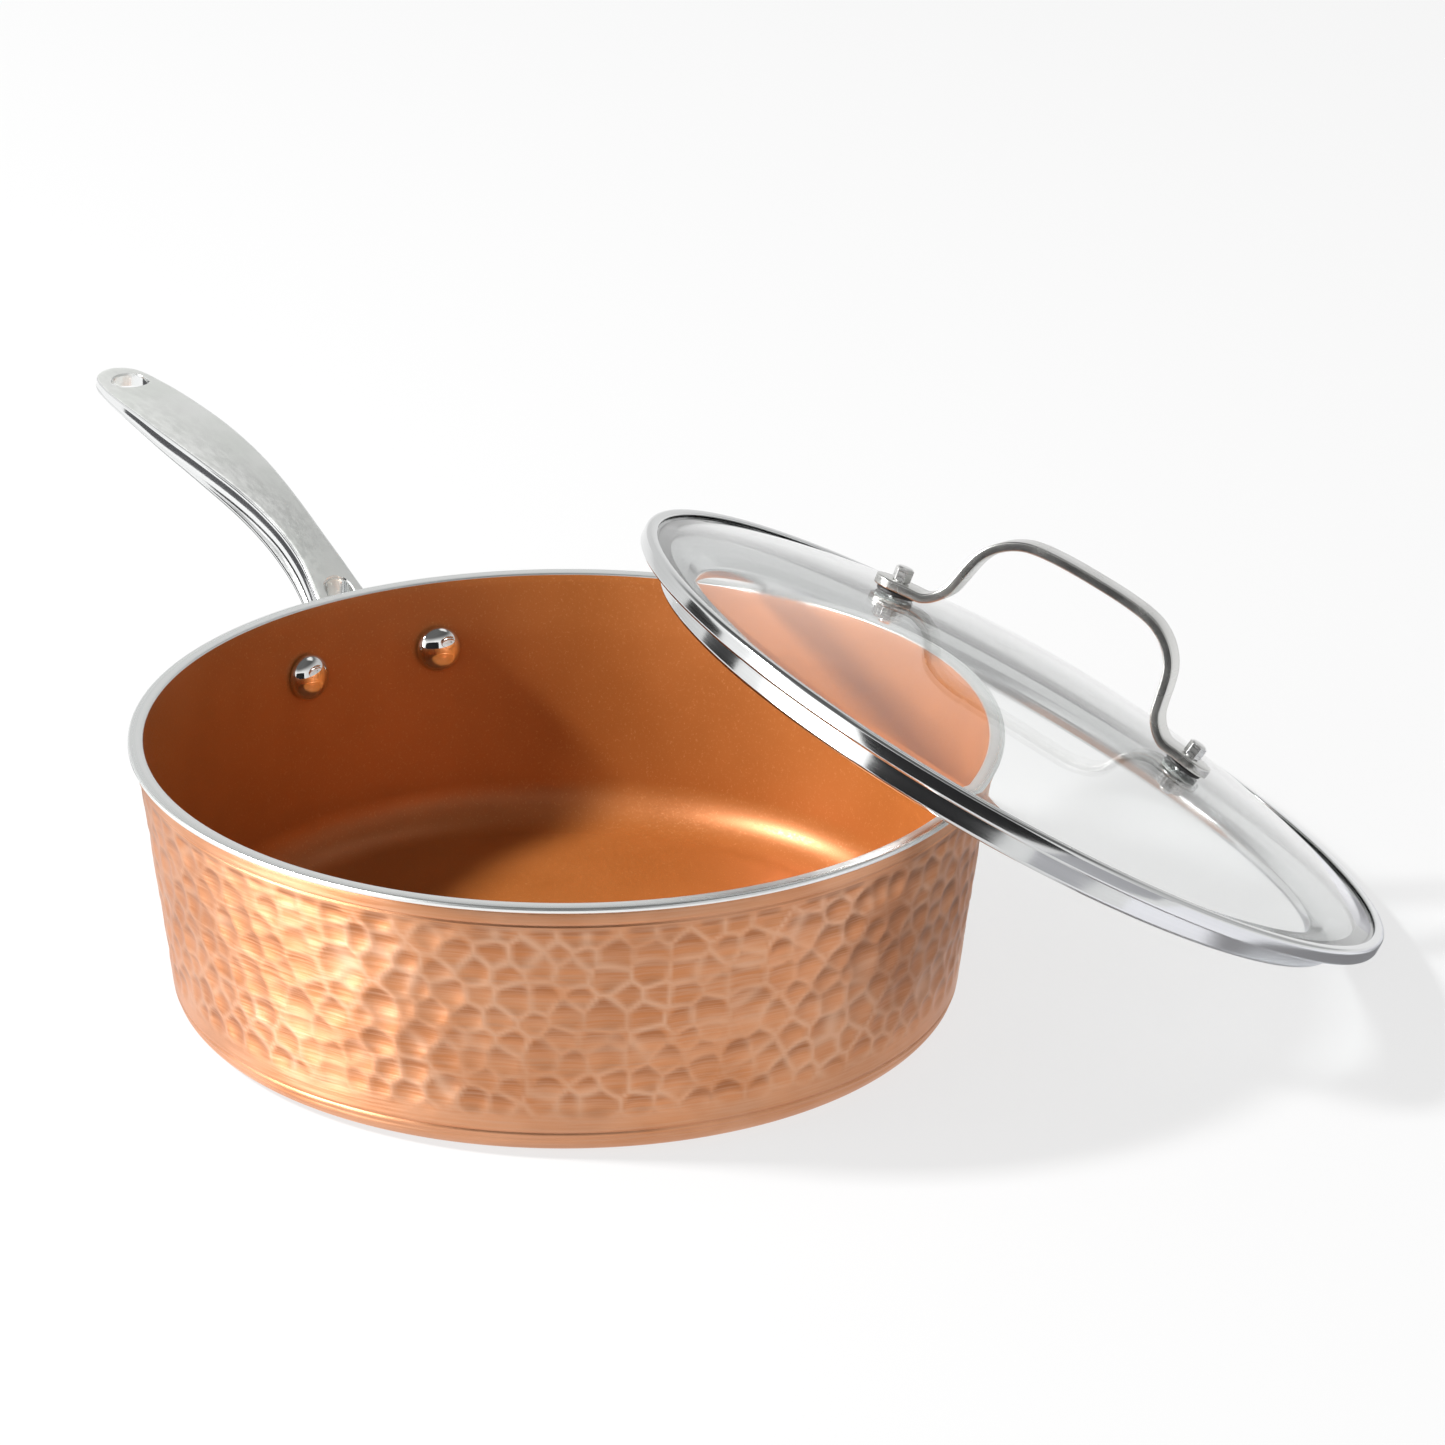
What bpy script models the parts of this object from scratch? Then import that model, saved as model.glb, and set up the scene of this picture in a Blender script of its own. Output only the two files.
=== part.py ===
"""Hammered copper saucepan with a riveted cast handle and its domed glass lid leaning on the rim.

Frame: origin at the centre of the pan's base, +Z up, the pan's handle along -X. Metres.
"""

import math

import bmesh
import bpy
from mathutils import Matrix, Vector

MM = 0.001
GAP = 0.3 * MM

# Pan, measured from the axis of the vessel.
RIM_RADIUS = 125.0 * MM
RIM_INNER = 120.6 * MM
RIM_TOP = 81.0 * MM
RIM_EDGE = 1.6 * MM
WALL_FOOT = 112.6 * MM
WALL_TAPER = 0.13
CORNER = 9.5 * MM
COPPER = 1.0 * MM
VESSEL = 2.5 * MM
COLLAR_FOOT = 74.8 * MM
FLOOR_TOP = 5.4 * MM
PLATE_RADIUS = 90.0 * MM
PLATE_HEIGHT = 2.8 * MM

# Pan handle, in the XZ plane on the -X side.
HANG_HOLE_AT = 272.1 * MM
HANG_HOLE_RADIUS = 5.8 * MM
ROOT_HOLE_AT = 134.1 * MM
ROOT_HOLE_LENGTH = 10.6 * MM
ROOT_HOLE_WIDTH = 8.8 * MM
FLANGE_THICK = 3.0 * MM
FLANGE_WIDTH = 60.0 * MM
FLANGE_LOW = 47.5 * MM
FLANGE_HIGH = 73.0 * MM

# Handle stations (mm): reach from the pan axis, height of the top, half widths of top and foot, depth.
HANDLE_STATIONS = (
    (111.0, 63.3, 12.9, 16.6, 17.4),
    (120.0, 68.3, 11.7, 14.7, 16.0),
    (128.4, 73.7, 9.6, 12.0, 13.0),
    (136.9, 78.6, 8.0, 10.1, 10.1),
    (145.9, 83.7, 6.9, 9.2, 9.5),
    (157.9, 88.6, 6.6, 9.0, 8.9),
    (171.0, 92.6, 7.3, 9.3, 8.7),
    (184.2, 95.5, 8.4, 10.0, 8.5),
    (198.5, 97.7, 9.7, 10.9, 8.2),
    (212.9, 99.2, 10.6, 11.4, 7.8),
    (229.4, 100.3, 11.1, 11.6, 7.2),
    (245.0, 100.9, 10.9, 11.3, 6.2),
    (259.7, 101.1, 10.4, 10.7, 5.2),
    (271.8, 101.1, 9.4, 9.7, 4.4),
    (277.6, 101.2, 8.4, 8.8, 4.1),
    (281.8, 101.1, 6.9, 7.2, 3.8),
    (284.5, 101.1, 4.4, 4.8, 3.5),
    (286.0, 100.9, 1.7, 1.9, 2.9),
)

# Rivets through the wall.
RIVET_TURN = math.radians(11.0)
RIVET_HEIGHT = 61.0 * MM
RIVET_SHANK = 2.5 * MM
RIVET_HOLE = 2.8 * MM

# Lid, in its own frame: z = 0 is the foot of the locating lip, +Z the dome's axis, +X its downhill side.
LID_TILT = math.radians(29.8)
LID_HEADING = math.radians(75.1)
LID_REACH = 130.5 * MM
LID_LIFT = 55.8 * MM
BAND_RADIUS = 123.2 * MM
BAND_INNER = 119.9 * MM
BAND_TOP = 12.7 * MM
BAND_FOOT = 7.7 * MM
BAND_SHELF = 0.7 * MM
BAND_LEDGE = 0.6 * MM
LIP_RADIUS = 112.6 * MM
LIP_INNER = 102.0 * MM
GLASS_RADIUS = 121.0 * MM
GLASS_EDGE_TOP = 11.6 * MM
GLASS_THICK = 3.0 * MM
DOME_FOOT = 118.6 * MM
DOME_RISE = 18.4 * MM

# Lid handle and the two screw stacks that hold it.
LID_HANDLE_TURN = math.radians(-35.2)
HANDLE_SHIFT = 1.5 * MM
SCREW_REACH = 49.2 * MM
SCREW_HOLE = 2.3 * MM
STRAP_WIDTH = 12.0 * MM
STRAP_THICK = 2.8 * MM
GASKET_THICK = 1.0 * MM

ROUND_STEPS = 72
SMALL_STEPS = 18


def clear_scene():
    """Removes every object, so the scene holds the saucepan alone."""
    for obj in list(bpy.data.objects):
        bpy.data.objects.remove(obj)


def make_collection(name, hidden):
    """A collection linked to the scene; cutters go in a hidden one."""
    collection = bpy.data.collections.new(name)
    collection.hide_render = hidden
    bpy.context.scene.collection.children.link(collection)
    return collection


def make_material(name, colour, metallic, roughness):
    """A Principled BSDF of one colour."""
    material = bpy.data.materials.new(name)
    material.use_nodes = True
    shader = material.node_tree.nodes["Principled BSDF"]
    shader.inputs["Base Color"].default_value = (*colour, 1.0)
    shader.inputs["Metallic"].default_value = metallic
    shader.inputs["Roughness"].default_value = roughness
    material.diffuse_color = (*colour, 1.0)
    return material


def add_object(name, mesh, material=None):
    """Links a mesh as a part, or as a cutter where it has no material."""
    obj = bpy.data.objects.new(name, mesh)
    if material is None:
        CUTTERS.objects.link(obj)
        obj.hide_render = True
        obj.display_type = "WIRE"
    else:
        PARTS.objects.link(obj)
        mesh.materials.append(material)
    return obj


def turned(name, profile, material=None, closed=True, steps=ROUND_STEPS):
    """A solid of revolution: the profile is (radius, height) pairs running down its outer side."""
    mesh = bpy.data.meshes.new(name)
    points = [(radius, 0.0, height) for radius, height in profile]
    count = len(points)
    edges = [(i, i + 1) for i in range(count - 1)]
    if closed:
        edges.append((count - 1, 0))
    mesh.from_pydata(points, edges, [])
    obj = add_object(name, mesh, material)
    screw = obj.modifiers.new("turn", "SCREW")
    screw.axis = "Z"
    screw.steps = steps
    screw.render_steps = steps
    screw.use_merge_vertices = True
    screw.merge_threshold = 0.00002
    screw.use_smooth_shade = True
    return obj


def prism(name, outline, low, high, material=None, smooth=False):
    """A plate with the given outline in XY, from low to high in Z."""
    mesh = bpy.data.meshes.new(name)
    shape = bmesh.new()
    rim = [shape.verts.new((x, y, low)) for x, y in outline]
    face = shape.faces.new(rim)
    grown = bmesh.ops.extrude_face_region(shape, geom=[face])
    risen = [item for item in grown["geom"] if isinstance(item, bmesh.types.BMVert)]
    bmesh.ops.translate(shape, verts=risen, vec=(0.0, 0.0, high - low))
    bmesh.ops.recalc_face_normals(shape, faces=shape.faces)
    for item in shape.faces:
        item.smooth = smooth and len(item.verts) == 4
    shape.to_mesh(mesh)
    shape.free()
    return add_object(name, mesh, material)


def combine(obj, other, operation):
    """Adds an exact Boolean with another object."""
    boolean = obj.modifiers.new(operation.lower(), "BOOLEAN")
    boolean.operation = operation
    boolean.solver = "EXACT"
    boolean.object = other


def bevel(obj, width, segments):
    """Rounds the sharp edges of an object."""
    modifier = obj.modifiers.new("round", "BEVEL")
    modifier.width = width
    modifier.segments = segments
    modifier.limit_method = "ANGLE"
    modifier.angle_limit = math.radians(40.0)


def arc(centre, radius, start, end, count):
    """Points on an arc in a (radius, height) plane; angles in degrees."""
    points = []
    for i in range(count):
        turn = math.radians(start + (end - start) * i / (count - 1))
        points.append((centre[0] + radius * math.cos(turn), centre[1] + radius * math.sin(turn)))
    return points


def wall_at(height):
    """Outer radius of the copper wall at a height."""
    return WALL_FOOT + WALL_TAPER * height


def copper_corner(inset, low, count):
    """The rounded foot of the wall, moved inward by the inset."""
    centre = (wall_at(CORNER) - CORNER, CORNER)
    radius = CORNER - inset
    points = arc(centre, radius, 0.0, -90.0, count)
    points[-1] = (points[-1][0], low)
    return points


def make_copper_shell(material):
    """The hammered copper jacket, from the collar under the rim to the foot."""
    top = RIM_TOP - RIM_EDGE - 1.0 * MM
    collar = wall_at(top) + 0.4 * MM
    profile = [
        (collar - COPPER, top),
        (collar, top),
        (collar, COLLAR_FOOT + 0.5 * MM),
        (wall_at(COLLAR_FOOT) - 0.35 * MM, COLLAR_FOOT),
        (wall_at(COLLAR_FOOT - 1.2 * MM), COLLAR_FOOT - 1.2 * MM),
        (wall_at(CORNER), CORNER),
    ]
    profile += copper_corner(0.0, 0.0, 6)[1:]
    profile.append((PLATE_RADIUS + GAP, 0.0))
    profile.append((PLATE_RADIUS + GAP, COPPER))
    profile += copper_corner(COPPER, COPPER, 5)[::-1]
    profile.append((wall_at(COLLAR_FOOT) - COPPER - 0.35 * MM, COLLAR_FOOT))
    return turned("copper_shell", profile, material)


def make_pan_body(material):
    """The spun vessel: flat floor, tapered wall and bare rolled rim."""
    skin = COPPER + GAP
    inset = skin + VESSEL
    inner_corner = 14.0 * MM
    centre_r = wall_at(FLOOR_TOP + inner_corner) - inset - inner_corner
    profile = [(0.0, FLOOR_TOP)]
    profile += arc((centre_r, FLOOR_TOP + inner_corner), inner_corner, -90.0, 0.0, 7)
    profile += [
        (wall_at(60.0 * MM) - inset, 60.0 * MM),
        (wall_at(70.0 * MM) - inset + 0.5 * MM, 70.0 * MM),
        (RIM_INNER - 0.4 * MM, RIM_TOP - 1.8 * MM),
        (RIM_INNER, RIM_TOP - 0.3 * MM),
        (RIM_INNER + 0.8 * MM, RIM_TOP),
        (RIM_RADIUS - 0.7 * MM, RIM_TOP),
        (RIM_RADIUS, RIM_TOP - 0.6 * MM),
        (RIM_RADIUS - 0.3 * MM, RIM_TOP - RIM_EDGE),
        (wall_at(79.0 * MM) - skin + 1.0 * MM, RIM_TOP - RIM_EDGE),
        (wall_at(76.5 * MM) - skin, 76.5 * MM),
        (wall_at(72.0 * MM) - skin - 0.3 * MM, 72.0 * MM),
    ]
    profile += copper_corner(skin, skin, 6)
    profile.append((PLATE_RADIUS + 1.0 * MM, skin))
    profile.append((PLATE_RADIUS + 0.6 * MM, PLATE_HEIGHT + GAP))
    profile.append((0.0, PLATE_HEIGHT + GAP))
    obj = turned("pan_body", profile, material, closed=False)
    return obj


def make_base_plate(material):
    """The steel disc let into the foot, with shallow turned rings."""
    profile = [
        (0.0, PLATE_HEIGHT),
        (PLATE_RADIUS - 0.4 * MM, PLATE_HEIGHT),
        (PLATE_RADIUS, PLATE_HEIGHT - 0.4 * MM),
        (PLATE_RADIUS, 0.4 * MM),
        (PLATE_RADIUS - 0.4 * MM, 0.0),
    ]
    for radius in (70.0 * MM, 46.0 * MM):
        profile.append((radius + 1.0 * MM, 0.0))
        profile.append((radius, 0.4 * MM))
        profile.append((radius - 1.0 * MM, 0.0))
    profile.append((0.0, 0.0))
    return turned("base_plate", profile, material, closed=False)


def handle_section(reach, top, half_top, half_foot, depth):
    """One cross-section of the handle: crowned top, hollow flank and a rounded foot."""
    crown = 0.12 * half_top
    half = [
        (0.0, top),
        (0.45 * half_top, top - 0.2 * crown),
        (0.8 * half_top, top - 0.75 * crown),
        (half_top, top - crown - 0.08 * depth),
        (half_top + 0.02 * (half_foot - half_top), top - crown - 0.25 * depth),
        (half_top + 0.3 * (half_foot - half_top), top - crown - 0.5 * depth),
        (half_foot, top - crown - 0.72 * depth),
        (half_foot, top - crown - 0.84 * depth),
        (half_foot - 0.1 * depth, top - depth),
        (0.45 * half_foot, top - depth),
    ]
    right = [Vector((-reach, -y, z)) * MM for y, z in half]
    left = [Vector((-reach, y, z)) * MM for y, z in half[:0:-1]]
    keel = Vector((-reach, 0.0, top - depth)) * MM
    return right + [keel] + left


def make_pan_handle(material):
    """The cast handle: a lofted grip and a riveting flange that hugs the wall."""
    mesh = bpy.data.meshes.new("pan_handle")
    shape = bmesh.new()
    rings = []
    for station in HANDLE_STATIONS:
        rings.append([shape.verts.new(point) for point in handle_section(*station)])
    count = len(rings[0])
    for near, far in zip(rings, rings[1:]):
        for i in range(count):
            following = (i + 1) % count
            face = shape.faces.new((near[i], near[following], far[following], far[i]))
            face.smooth = True
    shape.faces.new(rings[0])
    shape.faces.new(rings[-1])
    bmesh.ops.recalc_face_normals(shape, faces=shape.faces)
    shape.to_mesh(mesh)
    shape.free()
    obj = add_object("pan_handle", mesh, material)
    combine(obj, make_wall_clearance(), "DIFFERENCE")
    combine(obj, make_flange(), "UNION")
    combine(obj, make_root_hole(), "DIFFERENCE")
    combine(obj, make_hang_hole(), "DIFFERENCE")
    return obj


def make_wall_clearance():
    """The room the vessel and its rim take, a gap wider all round."""
    profile = [
        (0.0, 130.0 * MM),
        (wall_at(74.0 * MM) + GAP + 0.6 * MM, 130.0 * MM),
        (wall_at(74.0 * MM) + GAP + 0.6 * MM, 75.0 * MM),
        (wall_at(73.4 * MM) + GAP, 73.4 * MM),
        (wall_at(30.0 * MM) + GAP, 30.0 * MM),
        (0.0, 30.0 * MM),
    ]
    return turned("wall_clearance", profile, closed=False)


def make_flange():
    """The flange: a strip of the wall's own curve, cut to a rounded outline."""
    inner = GAP
    outer = GAP + FLANGE_THICK
    low = FLANGE_LOW - 4.0 * MM
    high = FLANGE_HIGH + 0.3 * MM
    profile = [
        (wall_at(high) + outer, high),
        (wall_at(low) + outer, low),
        (wall_at(low) + inner, low),
        (wall_at(high) + inner, high),
    ]
    strip = turned("flange_strip", profile)
    centre = (FLANGE_LOW + FLANGE_HIGH) / 2.0
    half_high = (FLANGE_HIGH - FLANGE_LOW) / 2.0
    half_wide = FLANGE_WIDTH / 2.0
    radius = half_high - 1.0 * MM
    outline = []
    for side_x, side_y, start in ((1, 1, 0), (-1, 1, 90), (-1, -1, 180), (1, -1, 270)):
        corner = (side_x * (half_wide - radius), side_y * (half_high - radius))
        outline += arc(corner, radius, start, start + 90, 6)
    block = prism("flange_block", outline, -140.0 * MM, -80.0 * MM)
    turn = Matrix(((0.0, 0.0, 1.0), (1.0, 0.0, 0.0), (0.0, 1.0, 0.0))).to_4x4()
    block.matrix_world = Matrix.Translation((0.0, 0.0, centre)) @ turn
    combine(strip, block, "INTERSECT")
    return strip


def make_root_hole():
    """The slot through the neck of the handle."""
    half_long = ROOT_HOLE_LENGTH / 2.0
    half_wide = ROOT_HOLE_WIDTH / 2.0
    straight = half_long - half_wide
    outline = arc((-ROOT_HOLE_AT - straight, 0.0), half_wide, 90.0, 270.0, 11)
    outline += arc((-ROOT_HOLE_AT + straight, 0.0), half_wide, -90.0, 90.0, 11)
    return prism("root_hole", outline, 40.0 * MM, 100.0 * MM)


def make_hang_hole():
    """The round hole at the tip."""
    outline = arc((-HANG_HOLE_AT, 0.0), HANG_HOLE_RADIUS, 0.0, 345.0, 24)
    return prism("hang_hole", outline, 70.0 * MM, 110.0 * MM)


def rivet_frame(side):
    """A frame on the inner wall at a rivet, its Z pointing out through the wall."""
    turn = math.pi + side * RIVET_TURN
    lean = math.atan(WALL_TAPER)
    out = Vector((math.cos(turn) * math.cos(lean), math.sin(turn) * math.cos(lean), -math.sin(lean)))
    radius = wall_at(RIVET_HEIGHT) - COPPER - GAP - VESSEL
    place = Vector((radius * math.cos(turn), radius * math.sin(turn), RIVET_HEIGHT))
    return Matrix.Translation(place) @ out.to_track_quat("Z", "Y").to_matrix().to_4x4()


def make_rivet(name, side, material):
    """A rivet: domed head inside the pan, small set head on the flange."""
    back = -0.4 * MM
    outer = VESSEL + COPPER + FLANGE_THICK + 3.0 * GAP
    profile = [
        (0.0, outer + 1.8 * MM),
        (1.9 * MM, outer + 1.65 * MM),
        (3.5 * MM, outer + 1.15 * MM),
        (4.5 * MM, outer + 0.3 * MM),
        (4.5 * MM, outer),
        (RIVET_SHANK, outer),
        (RIVET_SHANK, back),
        (7.0 * MM, back),
        (6.95 * MM, back - 0.8 * MM),
        (6.3 * MM, back - 2.2 * MM),
        (4.8 * MM, back - 3.4 * MM),
        (2.7 * MM, back - 4.2 * MM),
        (0.0, back - 4.6 * MM),
    ]
    obj = turned(name, profile, material, closed=False, steps=SMALL_STEPS)
    obj.matrix_world = rivet_frame(side)
    return obj


def drill_wall(solids):
    """Opens the rivet holes through the vessel, the copper and the flange."""
    for side, label in ((1, "a"), (-1, "b")):
        profile = [(0.0, 20.0 * MM), (RIVET_HOLE, 20.0 * MM), (RIVET_HOLE, -10.0 * MM), (0.0, -10.0 * MM)]
        drill = turned("rivet_drill_" + label, profile, closed=False, steps=SMALL_STEPS)
        drill.matrix_world = rivet_frame(side)
        for solid in solids:
            combine(solid, drill, "DIFFERENCE")


def lid_frame():
    """The lid's frame as it leans: +X downhill, +Z the dome's axis."""
    heading = Matrix.Rotation(LID_HEADING, 4, "Z")
    tilt = Matrix.Rotation(LID_TILT, 4, "Y")
    return heading @ Matrix.Translation((LID_REACH, 0.0, LID_LIFT)) @ tilt


def dome_ball():
    """Radius of the sphere that the dome is part of."""
    return (DOME_FOOT * DOME_FOOT + DOME_RISE * DOME_RISE) / (2.0 * DOME_RISE)


def dome_height(radius):
    """Top of the glass above the lip's foot at a radius."""
    ball = dome_ball()
    return GLASS_EDGE_TOP + math.sqrt(ball * ball - radius * radius) - (ball - DOME_RISE)


def dome_slope(radius):
    """Slope of the glass at a radius, as an angle."""
    return math.asin(radius / dome_ball())


def handle_frame():
    """The frame of the strap and its screws: the lid's, turned and slid a little along the dome."""
    centre = Matrix.Translation((0.0, 0.0, GLASS_EDGE_TOP - (dome_ball() - DOME_RISE)))
    slide = Matrix.Rotation(-HANDLE_SHIFT / dome_ball(), 4, "Y")
    turn = Matrix.Rotation(LID_HANDLE_TURN, 4, "Z")
    return lid_frame() @ turn @ centre @ slide @ centre.inverted()


def make_lid_glass(material):
    """The domed glass with its flat edge."""
    radii = [DOME_FOOT * i / 8.0 for i in range(9)]
    top = [(radius, dome_height(radius)) for radius in radii]
    top.append((GLASS_RADIUS - 0.8 * MM, GLASS_EDGE_TOP))
    top.append((GLASS_RADIUS, GLASS_EDGE_TOP - 0.8 * MM))
    under = [(radius, height - GLASS_THICK) for radius, height in top[:-2]]
    low = GLASS_EDGE_TOP - GLASS_THICK
    edge = [(GLASS_RADIUS, low + 0.8 * MM), (GLASS_RADIUS - 0.8 * MM, low)]
    return turned("lid_glass", top + edge + under[::-1], material, closed=False)


def make_lid_band(material):
    """The steel band: an upper hoop over the glass edge and a narrower locating lip."""
    shelf = BAND_FOOT - BAND_SHELF
    profile = [
        (BAND_INNER, BAND_TOP - 0.2 * MM),
        (BAND_INNER + 0.6 * MM, BAND_TOP),
        (BAND_RADIUS - 1.2 * MM, BAND_TOP),
        (BAND_RADIUS - 0.3 * MM, BAND_TOP - 0.4 * MM),
        (BAND_RADIUS, BAND_TOP - 1.3 * MM),
        (BAND_RADIUS, BAND_FOOT + 0.9 * MM),
        (BAND_RADIUS - 0.9 * MM, BAND_FOOT - 0.1 * MM),
        (LIP_RADIUS + 0.6 * MM, shelf),
        (LIP_RADIUS, BAND_FOOT - 1.4 * MM),
        (LIP_RADIUS, 1.3 * MM),
        (LIP_RADIUS - 0.4 * MM, 0.35 * MM),
        (LIP_RADIUS - 1.2 * MM, 0.0),
        (LIP_INNER + 1.2 * MM, 0.0),
        (LIP_INNER, 1.0 * MM),
        (LIP_INNER + 0.4 * MM, 3.4 * MM),
        (LIP_INNER + 4.0 * MM, shelf - 1.3 * MM),
        (LIP_RADIUS + 0.4 * MM, shelf + 0.45 * MM),
        (GLASS_RADIUS + GAP, shelf + BAND_LEDGE),
        (GLASS_RADIUS + GAP, GLASS_EDGE_TOP + GAP),
        (BAND_INNER, GLASS_EDGE_TOP + GAP),
    ]
    return turned("lid_rim_band", profile, material)


def make_lid_seal(material):
    """The thin silicone ring the glass edge rests on."""
    high = GLASS_EDGE_TOP - GLASS_THICK - 0.25 * MM
    low = BAND_FOOT - BAND_SHELF + BAND_LEDGE + 0.25 * MM
    profile = [
        (GLASS_RADIUS - 0.4 * MM, high),
        (GLASS_RADIUS - 0.4 * MM, low),
        (LIP_RADIUS + 1.4 * MM, low),
        (LIP_RADIUS + 1.4 * MM, high),
    ]
    return turned("lid_edge_seal", profile, material)


def strap_path():
    """The strap's centre line in its own plane: a nearly flat grip, two legs and two feet."""
    half = [
        (0.0, 61.5),
        (7.5, 61.4),
        (13.0, 61.1),
        (17.6, 60.6),
        (21.6, 59.7),
        (25.2, 58.0),
        (28.3, 55.6),
        (30.7, 52.8),
        (32.3, 49.8),
        (33.5, 45.5),
        (34.4, 40.8),
        (35.4, 36.9),
        (37.4, 33.8),
    ]
    lean = dome_slope(SCREW_REACH)
    along = Vector((math.cos(lean), -math.sin(lean)))
    normal = Vector((math.sin(lean), math.cos(lean)))
    rise = GASKET_THICK + 2.0 * GAP + STRAP_THICK / 2.0
    foot = (Vector((SCREW_REACH, dome_height(SCREW_REACH))) + normal * rise) / MM
    half.append(tuple(foot - along * 8.5))
    half.append(tuple(foot + along * 7.3))
    right = [Vector((x, z)) * MM for x, z in half]
    left = [Vector((-x, z)) * MM for x, z in half[:0:-1]]
    return left + right


def make_lid_handle(material):
    """The bent strap: its side outline given the strap's width, edges rounded."""
    path = strap_path()
    upper = []
    lower = []
    for i, point in enumerate(path):
        before = path[max(i - 1, 0)]
        after = path[min(i + 1, len(path) - 1)]
        along = (after - before).normalized()
        across = Vector((-along.y, along.x)) * STRAP_THICK / 2.0
        upper.append(point + across)
        lower.append(point - across)
    outline = [(point.x, point.y) for point in upper + lower[::-1]]
    obj = prism("lid_handle", outline, -STRAP_WIDTH / 2.0, STRAP_WIDTH / 2.0, material, smooth=True)
    bevel(obj, 0.6 * MM, 2)
    stand = Matrix.Rotation(math.pi / 2.0, 4, "X")
    obj.matrix_world = handle_frame() @ stand
    return obj


def screw_frame(side):
    """A frame on the glass under a screw, its Z square to the dome."""
    lean = side * dome_slope(SCREW_REACH)
    place = Matrix.Translation((side * SCREW_REACH, 0.0, dome_height(SCREW_REACH)))
    return handle_frame() @ place @ Matrix.Rotation(lean, 4, "Y")


def ring_profile(outer, inner, low, high, ease):
    """A washer's section with its outer corners eased."""
    return [
        (inner, high),
        (outer - ease, high),
        (outer, high - ease),
        (outer, low + ease),
        (outer - ease, low),
        (inner, low),
    ]


def make_nut(name, low, high, material):
    """A hexagonal nut with a plain bore."""
    across = 4.0 * MM / math.cos(math.radians(30.0))
    outline = arc((0.0, 0.0), across, 0.0, 300.0, 6)
    nut = prism(name, outline, low, high, material)
    bore_profile = [(0.0, high + MM), (SCREW_HOLE, high + MM), (SCREW_HOLE, low - MM), (0.0, low - MM)]
    bore = turned(name + "_bore", bore_profile, closed=False, steps=SMALL_STEPS)
    combine(nut, bore, "DIFFERENCE")
    return nut, bore


def make_screw_stack(label, side, finishes):
    """One screw with its gaskets, washer and nut, square to the glass."""
    foot = GASKET_THICK + 2.0 * GAP
    head = foot + STRAP_THICK + GAP
    glass_low = -GLASS_THICK - 0.1 * MM
    soft_low = glass_low - GAP - 1.0 * MM
    flat_low = soft_low - GAP - 0.8 * MM
    nut_high = flat_low - GAP
    nut_low = nut_high - 3.0 * MM
    screw = [
        (0.0, head + 4.3 * MM),
        (1.6 * MM, head + 4.2 * MM),
        (2.3 * MM, head + 3.85 * MM),
        (2.9 * MM, head + 3.3 * MM),
        (2.9 * MM, head),
        (2.0 * MM, head),
        (2.0 * MM, nut_low - 0.8 * MM),
        (1.5 * MM, nut_low - 1.3 * MM),
        (0.0, nut_low - 1.3 * MM),
    ]
    pieces = [
        turned("lid_screw_" + label, screw, finishes["screw"], closed=False, steps=SMALL_STEPS),
        turned("gasket_top_" + label,
               ring_profile(5.9 * MM, SCREW_HOLE, GAP, GAP + GASKET_THICK, 0.25 * MM),
               finishes["gasket"], steps=SMALL_STEPS),
        turned("gasket_bottom_" + label,
               ring_profile(5.7 * MM, SCREW_HOLE, soft_low, soft_low + 1.0 * MM, 0.25 * MM),
               finishes["gasket"], steps=SMALL_STEPS),
        turned("washer_" + label,
               ring_profile(5.6 * MM, SCREW_HOLE, flat_low, flat_low + 0.8 * MM, 0.15 * MM),
               finishes["washer"], steps=SMALL_STEPS),
    ]
    hexagon = arc((0.0, 0.0), 2.9 * MM, 0.0, 300.0, 6)
    facets = prism("screw_facets_" + label, hexagon, nut_low - 5.0 * MM, head + 6.0 * MM)
    combine(pieces[0], facets, "INTERSECT")
    pieces.append(facets)
    nut, bore = make_nut("nut_" + label, nut_low, nut_high, finishes["nut"])
    pieces.append(nut)
    pieces.append(bore)
    for piece in pieces:
        piece.matrix_world = screw_frame(side)


def drill_lid(solids):
    """Opens the screw holes through the strap and the glass."""
    for side, label in ((-1, "a"), (1, "b")):
        profile = [(0.0, 12.0 * MM), (SCREW_HOLE, 12.0 * MM), (SCREW_HOLE, -12.0 * MM), (0.0, -12.0 * MM)]
        drill = turned("screw_drill_" + label, profile, closed=False, steps=SMALL_STEPS)
        drill.matrix_world = screw_frame(side)
        for solid in solids:
            combine(solid, drill, "DIFFERENCE")


def make_pan():
    """Vessel, jacket, base plate, handle and rivets."""
    body = make_pan_body(make_material("vessel_aluminium", (0.72, 0.74, 0.73), 1.0, 0.35))
    shell = make_copper_shell(make_material("hammered_copper", (0.72, 0.38, 0.22), 1.0, 0.32))
    make_base_plate(make_material("base_steel", (0.55, 0.55, 0.54), 1.0, 0.4))
    handle = make_pan_handle(make_material("cast_steel", (0.62, 0.62, 0.61), 1.0, 0.28))
    make_rivet("rivet_left", -1, make_material("rivet_left_steel", (0.75, 0.75, 0.74), 1.0, 0.12))
    make_rivet("rivet_right", 1, make_material("rivet_right_steel", (0.75, 0.75, 0.74), 1.0, 0.12))
    drill_wall((body, shell, handle))


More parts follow.
